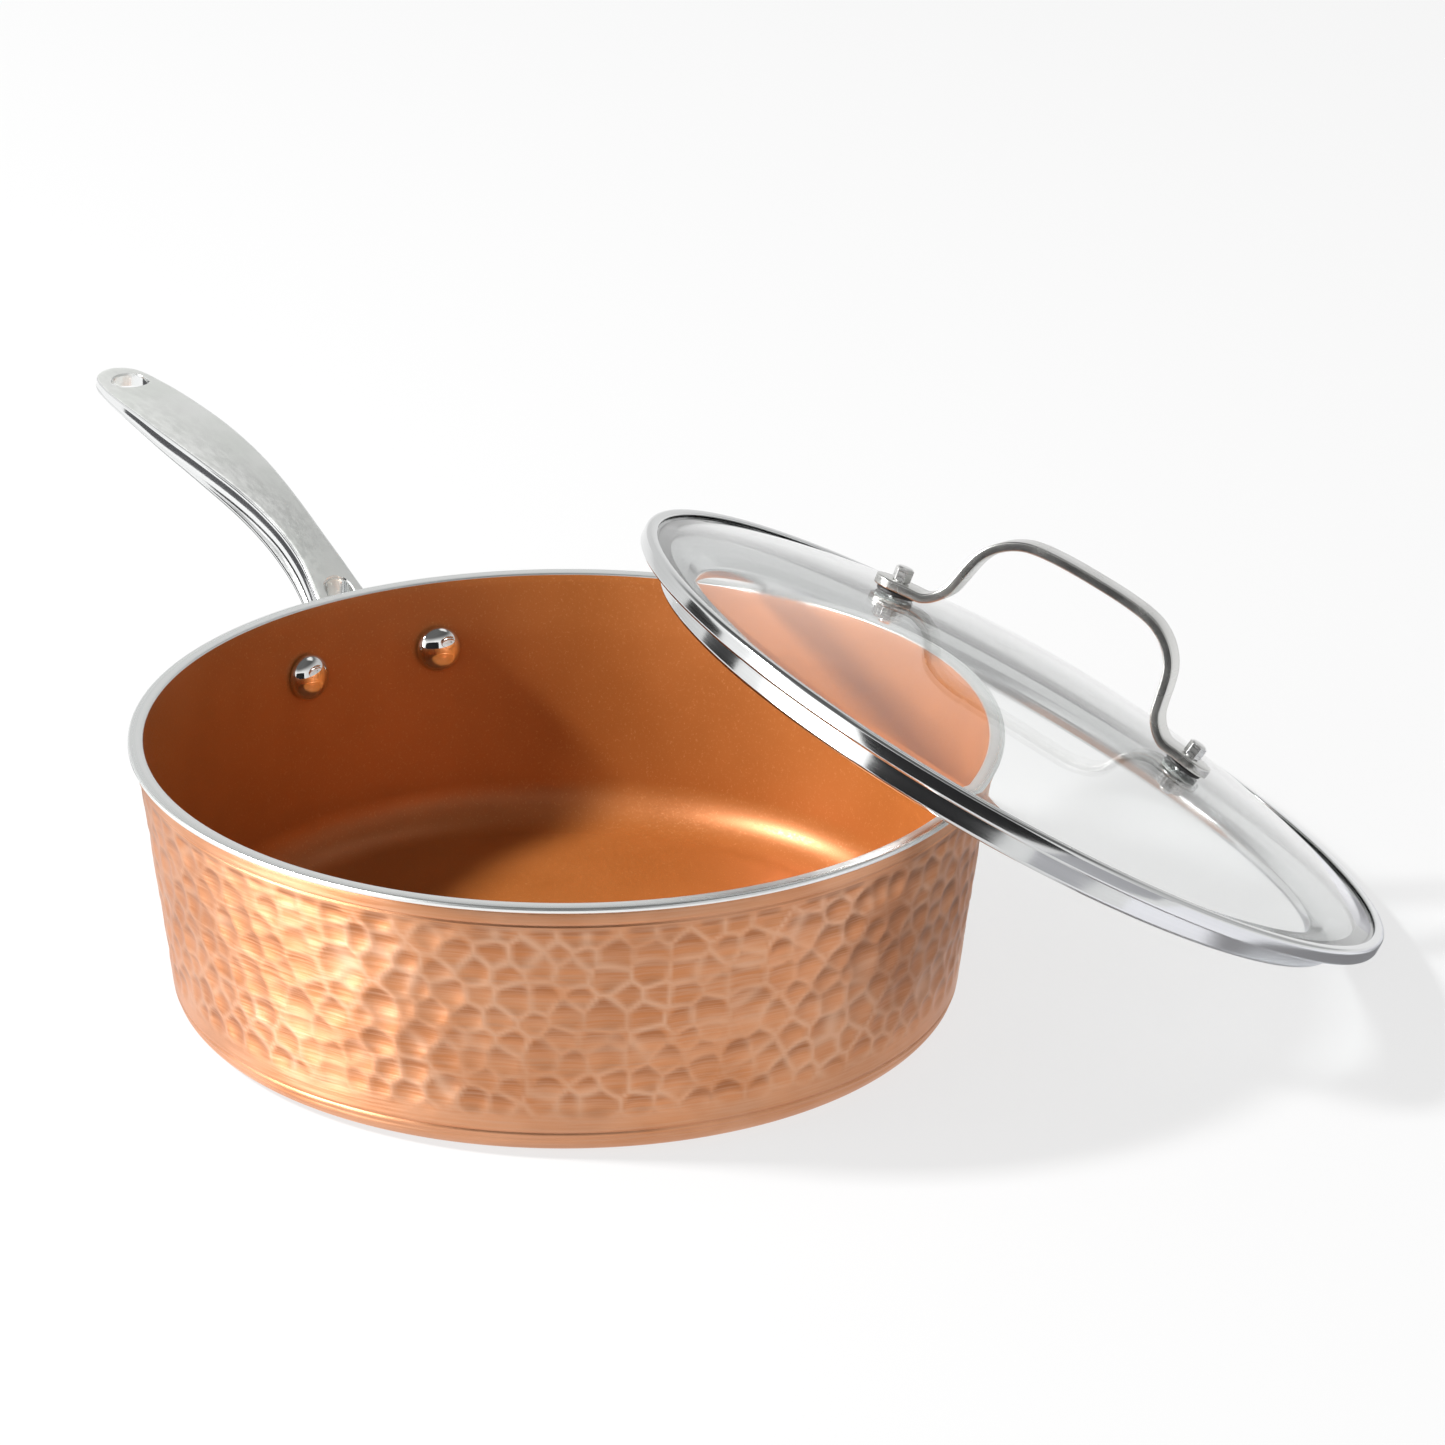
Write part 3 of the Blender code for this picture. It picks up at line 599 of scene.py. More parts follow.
def hammer_field(around, heights):
    """Depth of the blows and how near a ridge is, for a grid of places on the rolled-out wall."""
    random = np.random.default_rng(7)
    girth = 2.0 * math.pi * wall_at(45.0 * MM)
    per_row = round(girth / BLOW_SPACING)
    rows = round((HAMMER_TOP - HAMMER_FOOT + 8.0 * MM) / BLOW_RISE)
    centres = []
    for row in range(rows):
        height = HAMMER_FOOT - 1.0 * MM + row * BLOW_RISE
        shift = 0.5 * (row % 2) + random.uniform(-0.15, 0.15)
        for column in range(per_row):
            place = (column + shift) * girth / per_row
            centres.append((place + random.normal(0.0, 1.8 * MM), height + random.normal(0.0, 1.4 * MM)))
    centres = np.array(centres)
    depth = random.normal(BLOW_DEPTH, 0.13 * MM, len(centres))
    curve = random.uniform(0.75, 1.25, len(centres)) * BLOW_RADIUS
    dips = np.zeros((len(heights), len(around)))
    ridges = np.zeros_like(dips)
    sharpness = 1.0 / (0.04 * MM)
    for i, height in enumerate(heights):
        off = (around[:, None] * girth - centres[None, :, 0] + girth / 2.0) % girth - girth / 2.0
        near = np.abs(height - centres[:, 1]) < 16.0 * MM
        off = off[:, near]
        distance = off**2 + (height - centres[near, 1])**2
        cut = depth[near] - distance / (2.0 * curve[near])
        best = np.partition(cut, -2, axis=1)[:, -2:]
        dips[i] = best[:, 1] + np.log(np.exp((cut - best[:, 1:]) * sharpness).sum(axis=1)) / sharpness
        ridges[i] = np.exp(-((best[:, 1] - best[:, 0]) / (0.45 * MM)) ** 2)
    return np.clip(dips, 0.0, None), ridges


def make_copper_jacket(material):
    """The jacket: smooth collar and groove, hammered wall, a fine line and the plain foot."""
    top = RIM_TOP - RIM_EDGE - 0.6 * MM
    collar = wall_at(top) + 0.4 * MM
    above = rounded([
        (collar - COPPER, COLLAR_FOOT + 1.0 * MM, 0.0),
        (collar - COPPER, top, 0.25 * MM),
        (collar, top, 0.4 * MM),
        (collar - 0.05 * MM, COLLAR_FOOT + 0.5 * MM, 0.6 * MM),
        (wall_at(COLLAR_FOOT) - 0.45 * MM, COLLAR_FOOT, 0.3 * MM),
        (wall_at(HAMMER_TOP + 0.4 * MM), HAMMER_TOP + 0.4 * MM, 0.5 * MM),
        (wall_at(HAMMER_TOP), HAMMER_TOP, 0.0),
    ], count=4)[:-1]
    heights = np.linspace(HAMMER_TOP, HAMMER_FOOT, WALL_ROWS)
    wall = [(wall_at(z), z) for z in heights]
    foot = foot_arc(0.0, 20, 0.0, -36.0) + foot_arc(0.0, 12, -41.0, -90.0)
    foot = [(radius - line_depth(z), z) for radius, z in foot]
    inner = foot_arc(COPPER, 6)[::-1]
    under = [(PLATE_RADIUS + GAP, 0.0), (PLATE_RADIUS + GAP, COPPER)]
    back = [(wall_at(COLLAR_FOOT) - COPPER - 0.35 * MM, COLLAR_FOOT - 1.0 * MM)]
    profile = above + wall + foot + under + inner + back
    around = np.arange(WALL_COLUMNS) / WALL_COLUMNS
    dips, ridges = hammer_field(around, heights)
    fade_top = np.clip((HAMMER_TOP - heights) / (2.2 * MM), 0.0, 1.0)
    fade_foot = np.clip((heights - HAMMER_FOOT) / (6.0 * MM), 0.0, 1.0)
    fade = (fade_top * fade_foot)[:, None]
    fade = fade * fade * (3.0 - 2.0 * fade)
    first = len(above)
    radii = np.repeat(np.array(profile)[:, :1], WALL_COLUMNS, axis=1)
    radii[first:first + WALL_ROWS] -= dips * fade
    overhang = -np.gradient(dips * fade, heights, axis=0)
    level = np.repeat(np.array(profile)[:, 1:], WALL_COLUMNS, axis=1)
    turns = around[None, :] * 2.0 * math.pi
    points = np.stack([radii * np.cos(turns), radii * np.sin(turns), level], axis=2).reshape(-1, 3)
    faces = ring_faces(len(profile), WALL_COLUMNS, True)
    obj = add_piece("copper_jacket", points.tolist(), faces, 40.0)
    rubbed = np.full(radii.shape, 0.45)
    rubbed[first:first + WALL_ROWS] = ridges * fade + 0.45 * (1.0 - fade)
    obj.data.attributes.new("ridge", "FLOAT", "POINT").data.foreach_set("value", rubbed.ravel())
    # Painted shade: a value that rises where the hammered wall faces down, which darkens the copper there.
    painted_shade = np.full(radii.shape, 0.5)
    painted_shade[first:first + WALL_ROWS] = np.clip(0.5 + 2.2 * overhang, 0.0, 1.0)
    obj.data.attributes.new("painted_shade", "FLOAT", "POINT").data.foreach_set("value", painted_shade.ravel())
    finish_piece(obj, "pan", ["copper_shell"], "hammered_copper", material)


def line_depth(height):
    """Depth of the two fine lines rolled round the foot, which leave a bead between them."""
    upper = 0.40 * MM * math.exp(-((height - 8.0 * MM) / (0.5 * MM)) ** 2)
    lower = 0.30 * MM * math.exp(-((height - 6.1 * MM) / (0.5 * MM)) ** 2)
    return upper + lower


def make_base_disc(material):
    """The steel disc let into the foot, with shallow turned rings."""
    corners = [
        (0.0, PLATE_HEIGHT, 0.0),
        (PLATE_RADIUS, PLATE_HEIGHT, 0.4 * MM),
        (PLATE_RADIUS, 0.0, 0.4 * MM),
    ]
    for radius in (70.0 * MM, 46.0 * MM):
        corners.append((radius + 1.0 * MM, 0.0, 0.3 * MM))
        corners.append((radius, 0.4 * MM, 0.3 * MM))
        corners.append((radius - 1.0 * MM, 0.0, 0.3 * MM))
    corners.append((0.0, 0.0, 0.0))
    obj = turned("base_disc", rounded(corners, count=4))
    finish_piece(obj, "pan", ["base_plate"], "base_steel", material)


def handle_ring(reach, top, half_top, half_foot, depth):
    """One section of the handle: crowned top, rolled crease, hollow flank, rounded lip, flat foot."""
    crown = 0.12 * half_top
    edge = min(0.17 * depth, 0.7 * half_top)
    half = []
    for share in np.linspace(0.0, 1.0, 8):
        across = (half_top - edge) * share
        half.append((across, top - crown * (across / half_top) ** 2))
    shoulder = half[-1][1]
    half += arc((half_top - edge, shoulder - edge), edge, 78.0, 0.0, 6)
    lip = 0.12 * depth
    lip_low = top - depth
    start = Vector((half_top, shoulder - edge))
    end = Vector((half_foot - 0.25 * lip, lip_low + 2.0 * lip))
    pull = 0.55 * (start.y - end.y)
    bend = (start, start - Vector((0.0, pull)), end + Vector((-0.75 * (end.x - start.x), 0.35 * pull)), end)
    for t in np.linspace(0.0, 1.0, 11)[1:]:
        s = 1.0 - t
        half.append(tuple(s**3 * bend[0] + 3 * s * s * t * bend[1]
                          + 3 * s * t * t * bend[2] + t**3 * bend[3]))
    half += arc((half_foot - lip, lip_low + lip), lip, 50.0, -90.0, 7)
    half += [(half_foot * share, lip_low) for share in (0.6, 0.3)]
    right = [(-reach, -y, z) for y, z in half]
    left = [(-reach, y, z) for y, z in half[:0:-1]]
    return right + [(-reach, 0.0, lip_low)] + left


def handle_surface(reach):
    """Height and slope of the handle's top line at a reach."""
    rows = smooth_rows(HANDLE_STATIONS, 1.0) * MM
    height = float(np.interp(reach, rows[:, 0], rows[:, 1]))
    ahead = float(np.interp(reach + 1.0 * MM, rows[:, 0], rows[:, 1]))
    return height, math.atan2(ahead - height, 1.0 * MM)


def slot_outline(length, width):
    """A slot's outline, long in X."""
    straight = (length - width) / 2.0
    outline = arc((straight, 0.0), width / 2.0, -90.0, 90.0, 17)
    return outline + arc((-straight, 0.0), width / 2.0, 90.0, 270.0, 17)


def cut_slot(obj, reach, length, width, ease):
    """Cuts a slot straight down and eases its upper edge square to the surface."""
    height, slope = handle_surface(reach)
    cutter = prism("slot", slot_outline(length, width), -60.0 * MM, 60.0 * MM)
    cutter.matrix_world = Matrix.Translation((-reach, 0.0, height))
    combine(obj, cutter, "DIFFERENCE")
    along = length / math.cos(slope)
    levels = ((-1.2 * ease, 0.0), (0.0, ease), (1.5 * ease, 3.0 * ease))
    rings = []
    for rise, grow in levels:
        outline = slot_outline(along + 2.0 * grow, width + 2.0 * grow)
        rings.append([(x, y, rise) for x, y in outline])
    easing = lofted("slot_ease", rings)
    easing.matrix_world = Matrix.Translation((-reach, 0.0, height)) @ Matrix.Rotation(slope, 4, "Y")
    combine(obj, easing, "DIFFERENCE")


def make_flange():
    """The riveting flange: a pad that hugs the wall, its outline and rim rounded."""
    half_high = (FLANGE_HIGH - FLANGE_LOW) / 2.0
    half_wide = FLANGE_WIDTH / 2.0
    outline = rounded_box(half_wide, half_high, half_high - 1.0 * MM, 14)
    ease = 0.9 * MM
    rows = [(0.0, 0.0), (0.4, 0.0), (0.75, 0.0), (1.0, 0.0), (1.0, FLANGE_THICK - ease)]
    for turn in (30.0, 60.0, 90.0):
        shrink = ease * (1.0 - math.cos(math.radians(turn))) / half_high
        rows.append((1.0 - shrink, FLANGE_THICK - ease + ease * math.sin(math.radians(turn))))
    rows += [(0.7, FLANGE_THICK), (0.4, FLANGE_THICK), (0.0, FLANGE_THICK)]
    centre = (FLANGE_LOW + FLANGE_HIGH) / 2.0

    def on_wall(x, y, out):
        radius = wall_at(centre + y) + GAP + out
        turn = math.pi + x / wall_at(centre)
        return (radius * math.cos(turn), radius * math.sin(turn), centre + y)

    count = len(outline)
    points = []
    for scale, out in rows[1:-1]:
        points += [on_wall(scale * x, scale * y, out) for x, y in outline]
    faces = ring_faces(len(rows) - 2, count, False)
    fan_ends(faces, len(points), len(rows) - 2, count)
    points += [on_wall(0.0, 0.0, rows[0][1]), on_wall(0.0, 0.0, rows[-1][1])]
    return add_piece("flange", points, faces)


def make_handle(material):
    """The cast handle: a lofted grip cut to clear the wall, its flange, slot and hanging hole."""
    rings = [handle_ring(*row) for row in smooth_rows(HANDLE_STATIONS, 1.3) * MM]
    obj = lofted("pan_handle_cast", rings)
    room = wall_at(74.0 * MM) + GAP + 0.6 * MM
    clearance = turned("wall_clearance", [
        (0.0, 130.0 * MM), (room, 130.0 * MM), (room, 75.0 * MM), (wall_at(73.4 * MM) + GAP, 73.4 * MM),
        (wall_at(30.0 * MM) + GAP, 30.0 * MM), (0.0, 30.0 * MM)])
    combine(obj, clearance, "DIFFERENCE")
    combine(obj, make_flange(), "UNION")
    cut_slot(obj, ROOT_HOLE_AT, ROOT_HOLE_LENGTH, ROOT_HOLE_WIDTH, 0.5 * MM)
    cut_slot(obj, HANG_HOLE_AT, 2.0 * HANG_HOLE_RADIUS + 0.02 * MM, 2.0 * HANG_HOLE_RADIUS, 0.5 * MM)
    for side in (1, -1):
        drill(obj, RIVET_HOLE, rivet_frame(side), RIVET_BORE)
    finish_piece(obj, "pan", ["pan_handle"], "cast_steel", material)


def make_rivet(name, side, node_name, material):
    """A rivet: domed head inside the pan, shank, and a small set head on the flange."""
    back = -0.4 * MM
    outer = VESSEL + COPPER + FLANGE_THICK + 3.0 * GAP
    set_head = [(SET_HEAD * math.sin(t), outer + 0.3 * MM + 1.5 * MM * math.cos(t))
                for t in np.radians(np.linspace(0.0, 90.0, 12))]
    dome = [(RIVET_HEAD * math.cos(t), back - 0.4 * MM - RIVET_RISE * math.sin(t))
            for t in np.radians(np.linspace(0.0, 90.0, 20))]
    profile = set_head + [(SET_HEAD, outer), (RIVET_SHANK, outer), (RIVET_SHANK, back),
                          (RIVET_HEAD - 0.15 * MM, back), (RIVET_HEAD, back - 0.15 * MM)] + dome
    profile[0] = (0.0, profile[0][1])
    profile[-1] = (0.0, profile[-1][1])
    obj = turned(name, profile, 96)
    obj.matrix_world = rivet_frame(side)
    finish_piece(obj, "pan", [node_name], "rivet_steel", material)


# -------------- lid

def lid_frame():
    """The lid's frame as it leans: +X downhill, +Z the dome's axis."""
    heading = Matrix.Rotation(LID_HEADING, 4, "Z")
    tilt = Matrix.Rotation(LID_TILT, 4, "Y")
    return heading @ Matrix.Translation((LID_REACH, 0.0, LID_LIFT)) @ tilt


def dome_ball():
    """Radius of the sphere that the dome is part of."""
    return (DOME_FOOT * DOME_FOOT + DOME_RISE * DOME_RISE) / (2.0 * DOME_RISE)


def dome_height(radius):
    """Top of the glass above the lip's foot at a radius."""
    ball = dome_ball()
    return GLASS_EDGE_TOP + math.sqrt(ball * ball - radius * radius) - (ball - DOME_RISE)


def dome_slope(radius):
    """Slope of the glass at a radius, as an angle."""
    return math.asin(radius / dome_ball())


def handle_frame():
    """The frame of the strap and its screws: the lid's, turned and slid a little along the dome."""
    centre = Matrix.Translation((0.0, 0.0, GLASS_EDGE_TOP - (dome_ball() - DOME_RISE)))
    slide = Matrix.Rotation(-HANDLE_SHIFT / dome_ball(), 4, "Y")
    turn = Matrix.Rotation(LID_HANDLE_TURN, 4, "Z")
    return lid_frame() @ turn @ centre @ slide @ centre.inverted()


def screw_frame(side):
    """A frame on the glass under a screw, its Z square to the dome."""
    lean = side * dome_slope(SCREW_REACH)
    place = Matrix.Translation((side * SCREW_REACH, 0.0, dome_height(SCREW_REACH)))
    return handle_frame() @ place @ Matrix.Rotation(lean, 4, "Y")


def make_glass(material):
    """The domed glass with its flat ground edge and two screw holes."""
    radii = np.linspace(0.0, DOME_FOOT, 29)
    top = [(radius, dome_height(radius)) for radius in radii]
    low = GLASS_EDGE_TOP - GLASS_THICK
    edge = rounded([
        (DOME_FOOT + 0.5 * MM, GLASS_EDGE_TOP, 0.0),
        (GLASS_RADIUS, GLASS_EDGE_TOP, 0.8 * MM),
        (GLASS_RADIUS, low, 0.8 * MM),
        (DOME_FOOT + 0.5 * MM, low, 0.0),
    ])
    under = [(radius, height - GLASS_THICK) for radius, height in top]
    obj = turned("glass_dome", top + edge + under[::-1])
    obj.matrix_world = lid_frame()
    for side in (-1, 1):
        drill(obj, SCREW_HOLE, screw_frame(side), SCREW_BORE)
    finish_piece(obj, "lid", ["lid_glass"], "tempered_glass", material)


def make_band(material):
    """The steel band: a hoop over the glass edge and the narrower locating lip under it."""
    shelf = BAND_FOOT - BAND_SHELF
    room = GLASS_RADIUS + GAP
    corners = [
        (BAND_INNER, BAND_TOP - 0.1 * MM, 0.4 * MM),
        (BAND_RADIUS, BAND_TOP, 1.3 * MM),
        (BAND_RADIUS, BAND_FOOT, 1.0 * MM),
        (LIP_RADIUS, shelf, 0.7 * MM),
        (LIP_RADIUS, 0.0, 1.3 * MM),
        (LIP_INNER, 0.0, 1.1 * MM),
        (LIP_INNER + 0.3 * MM, 3.4 * MM, 1.5 * MM),
        (LIP_INNER + 4.0 * MM, shelf - 1.3 * MM, 2.0 * MM),
        (LIP_RADIUS + 0.4 * MM, shelf + 0.5 * MM, 1.0 * MM),
        (room, shelf + BAND_LEDGE, 0.4 * MM),
        (room, GLASS_EDGE_TOP + GAP, 0.3 * MM),
        (BAND_INNER, GLASS_EDGE_TOP + GAP, 0.2 * MM),
    ]
    obj = turned("lid_band", rounded(corners, closed=True, count=8), closed=True)
    obj.matrix_world = lid_frame()
    finish_piece(obj, "lid", ["lid_rim_band"], "band_steel", material)


def make_seal(material):
    """The thin silicone ring the glass edge rests on."""
    high = GLASS_EDGE_TOP - GLASS_THICK - 0.25 * MM
    low = BAND_FOOT - BAND_SHELF + BAND_LEDGE + 0.25 * MM
    ease = 0.15 * MM
    corners = [
        (GLASS_RADIUS - 0.4 * MM, high, ease),
        (GLASS_RADIUS - 0.4 * MM, low, ease),
        (LIP_RADIUS + 1.4 * MM, low, ease),
        (LIP_RADIUS + 1.4 * MM, high, ease),
    ]
    obj = turned("edge_seal", rounded(corners, closed=True, count=3), closed=True)
    obj.matrix_world = lid_frame()
    finish_piece(obj, "lid", ["lid_edge_seal"], "seal_silicone", material)


def strap_half():
    """The strap's centre line from the middle of the grip to the end of a foot, in its own plane."""
    half = [(0.0, 61.5), (7.5, 61.4), (13.0, 61.1), (17.6, 60.6), (21.6, 59.7), (25.2, 58.0), (28.3, 55.6),
            (30.7, 52.8), (32.3, 49.8), (33.5, 45.5), (34.4, 40.8), (35.4, 36.9), (37.4, 33.8)]
    lean = dome_slope(SCREW_REACH)
    along = Vector((math.cos(lean), -math.sin(lean)))
    normal = Vector((math.sin(lean), math.cos(lean)))
    rise = GASKET_THICK + 2.0 * GAP + STRAP_THICK / 2.0
    foot = (Vector((SCREW_REACH, dome_height(SCREW_REACH))) + normal * rise) / MM
    return half + [tuple(foot - along * reach) for reach in (8.5, 4.0, 0.0, -4.0, -7.3)]


def make_strap(material):
    """The bent strap with round-ended feet."""
    half = smooth_rows(strap_half(), 0.8) * MM
    line = np.concatenate([half[:0:-1] * (-1.0, 1.0), half])
    run = np.concatenate(([0.0], np.cumsum(np.linalg.norm(np.diff(line, axis=0), axis=1))))
    end = STRAP_WIDTH / 2.0
    rounding = [end * (1.0 - math.cos(t)) for t in np.radians(np.linspace(3.0, 90.0, 16))]
    middle = np.arange(end + 0.8 * MM, run[-1] - end - 0.4 * MM, 0.8 * MM)
    places = np.concatenate([rounding, middle, run[-1] - np.array(rounding[::-1])])
    rings = []
    for place in places:
        at = Vector((np.interp(place, run, line[:, 0]), np.interp(place, run, line[:, 1])))
        behind, ahead = max(place - 0.5 * MM, 0.0), min(place + 0.5 * MM, run[-1])
        step = Vector([np.interp(ahead, run, line[:, k]) - np.interp(behind, run, line[:, k])
                       for k in (0, 1)])
        across = Vector((-step.y, step.x)).normalized()
        short = end - min(place, run[-1] - place, end)
        half_wide = math.sqrt(end * end - short * short)
        ease = min(STRAP_EASE, 0.95 * half_wide)
        section = rounded_box(STRAP_THICK / 2.0, half_wide, ease, 6)
        rings.append([(at.x + a * across.x, b, at.y + a * across.y) for a, b in section])
    obj = lofted("strap_handle", rings, 50.0)
    obj.matrix_world = handle_frame()
    for side in (-1, 1):
        drill(obj, SCREW_HOLE, screw_frame(side), SCREW_BORE, 50.0)
    finish_piece(obj, "lid", ["lid_handle"], "strap_steel", material)


def washer(name, outer, low, high, ease):
    """A washer with eased corners."""
    corners = [(SCREW_HOLE, high, 0.0), (outer, high, ease), (outer, low, ease), (SCREW_HOLE, low, 0.0)]
    return turned(name, rounded(corners, closed=True, count=5), SMALL_STEPS, True)


def hexagon(circumradius, ease):
    """A hexagon with its corners eased."""
    corners = [(x, y, ease) for x, y in arc((0.0, 0.0), circumradius, 0.0, 300.0, 6)]
    return rounded(corners, closed=True, count=4)


def make_screw_stack(label, side, finishes):
    """One screw with its gaskets, washer and nut, square to the glass."""
    foot = GASKET_THICK + 2.0 * GAP
    head = foot + STRAP_THICK + GAP
    glass_low = -GLASS_THICK - 0.1 * MM
    soft_low = glass_low - GAP - GASKET_THICK
    flat_low = soft_low - GAP - WASHER_THICK
    nut_high = flat_low - GAP
    nut_low = nut_high - NUT_THICK
    screw = turned("screw_" + label, rounded([
        (0.0, head + 4.3 * MM, 0.0),
        (2.1 * MM, head + 4.15 * MM, 1.0 * MM),
        (SCREW_HEAD, head + 3.5 * MM, 0.3 * MM),
        (SCREW_HEAD, head, 0.2 * MM),
        (2.0 * MM, head, 0.0),
        (2.0 * MM, nut_low - 0.8 * MM, 0.1 * MM),
        (1.5 * MM, nut_low - 1.3 * MM, 0.1 * MM),
        (0.0, nut_low - 1.3 * MM, 0.0),
    ]), 96)
    facets = prism("facets", hexagon(2.9 * MM, 0.3 * MM), nut_low - 5.0 * MM, head + 6.0 * MM)
    combine(screw, facets, "INTERSECT")
    top = washer("gasket_upper_" + label, 5.9 * MM, GAP, GAP + GASKET_THICK, 0.3 * MM)
    low = washer("gasket_lower_" + label, 5.7 * MM, soft_low, soft_low + GASKET_THICK, 0.3 * MM)
    flat = washer("washer_flat_" + label, 5.6 * MM, flat_low, flat_low + WASHER_THICK, 0.2 * MM)
    nut = turned("hex_nut_" + label, [
        (SCREW_HOLE, nut_high), (4.1 * MM, nut_high), (4.7 * MM, nut_high - 0.4 * MM),
        (4.7 * MM, nut_low + 0.4 * MM), (4.1 * MM, nut_low), (SCREW_HOLE, nut_low)], 96, True)
    flats = hexagon(4.0 * MM / math.cos(math.radians(30.0)), 0.25 * MM)
    combine(nut, prism("flats", flats, nut_low - MM, nut_high + MM), "INTERSECT")
    rows = (
        (screw, "lid_screw_", "screw_steel"),
        (top, "gasket_top_", "gasket_silicone"),
        (low, "gasket_bottom_", "clear_silicone"),
        (flat, "washer_", "fixing_steel"),
        (nut, "nut_", "fixing_steel"),
    )
    for piece, node_start, slot in rows:
        piece.matrix_world = screw_frame(side)
        finish_piece(piece, "lid", [node_start + label], slot, finishes[slot])


# -------------- stage, light and camera

def in_set(x, y, z):
    """A place given as seen from the camera: right, away and up from the middle of the pan."""
    return Matrix.Rotation(VIEW_TURN, 4, "Z") @ Vector((x, y, z))


def make_camera():
    """The camera of the main view."""
    data = bpy.data.cameras.new("camera")
    data.sensor_width = 36.0
    data.lens = LENS
    data.clip_end = 100.0
    camera = bpy.data.objects.new("camera", data)
    place = VIEW_AIM - Vector((0.0, math.cos(VIEW_DROP), -math.sin(VIEW_DROP))) * VIEW_DISTANCE
    camera.matrix_world = (Matrix.Rotation(VIEW_TURN, 4, "Z") @ Matrix.Translation(place)
                           @ Matrix.Rotation(math.pi / 2.0 - VIEW_DROP, 4, "X")
                           @ Matrix.Rotation(VIEW_ROLL, 4, "Z"))
    bpy.context.scene.collection.objects.link(camera)
    bpy.context.scene.camera = camera


def make_floor():
    """A wide, plain white floor, lit from below as well, which keeps the shadows light."""
    mesh = bpy.data.meshes.new("floor")
    shape = bmesh.new()
    bmesh.ops.create_circle(shape, cap_ends=True, radius=3.0, segments=96)
    shape.to_mesh(mesh)
    shape.free()
    floor = bpy.data.objects.new("floor", mesh)
    floor.location = in_set(0.0, 0.4, 0.0)
    material, _, shader = new_material("white_floor", (0.155, 0.155, 0.155), 0.0, 0.9)
    shader.inputs["Emission Color"].default_value = (1.0, 1.0, 1.0, 1.0)
    shader.inputs["Emission Strength"].default_value = 0.74
    shader.inputs["Specular IOR Level"].default_value = 0.0
    mesh.materials.append(material)
    bpy.context.scene.collection.objects.link(floor)


def area_light(name, place, aim, width, height, power):
    """A soft box that the camera doesn't see."""
    data = bpy.data.lights.new(name, "AREA")
    data.shape = "RECTANGLE"
    data.size = width
    data.size_y = height
    data.energy = power
    light = bpy.data.objects.new(name, data)
    light.location = in_set(*place)
    light.rotation_euler = (in_set(*aim) - in_set(*place)).to_track_quat("-Z", "Y").to_euler()
    light.visible_camera = False
    bpy.context.scene.collection.objects.link(light)


def dark_card(name, corners, level, through_glass=True):
    """A dark card round the set; only reflections show it."""
    mesh = bpy.data.meshes.new(name)
    mesh.from_pydata([in_set(*corner) for corner in corners], [], [tuple(range(len(corners)))])
    card = bpy.data.objects.new(name, mesh)
    material, _, shader = new_material(name, (level, level, 1.05 * level), 0.0, 1.0)
    shader.inputs["Specular IOR Level"].default_value = 0.0
    mesh.materials.append(material)
    card.visible_camera = False
    card.visible_diffuse = False
    card.visible_shadow = False
    card.visible_transmission = through_glass
    bpy.context.scene.collection.objects.link(card)


def zone(tree, parts, azimuth, half_wide, low, high, soft):
    """1 inside a part of the surroundings, 0 outside; angles in degrees, azimuth as in the set."""
    turn = math.radians(azimuth)
    flat = node(tree, "ShaderNodeCombineXYZ", {0: parts.outputs["X"], 1: parts.outputs["Y"]})
    flat = node(tree, "ShaderNodeVectorMath", {0: flat.outputs["Vector"]}, operation="NORMALIZE")
    aim = (math.cos(turn), math.sin(turn), 0.0)
    inputs = {0: flat.outputs["Vector"], 1: aim}
    facing = node(tree, "ShaderNodeVectorMath", inputs, operation="DOT_PRODUCT")
    edge = [math.cos(math.radians(half_wide + step)) for step in (soft, -soft)]
    across = mapped(tree, facing.outputs["Value"], *edge)
    floor_edge = [math.sin(math.radians(low + step)) for step in (-soft, soft)]
    roof_edge = [math.sin(math.radians(high + step)) for step in (-soft, soft)]
    above = mapped(tree, parts.outputs["Z"], *floor_edge)
    below = mapped(tree, parts.outputs["Z"], *roof_edge, 1.0, 0.0)
    return calc(tree, "MULTIPLY", across, calc(tree, "MULTIPLY", above, below))


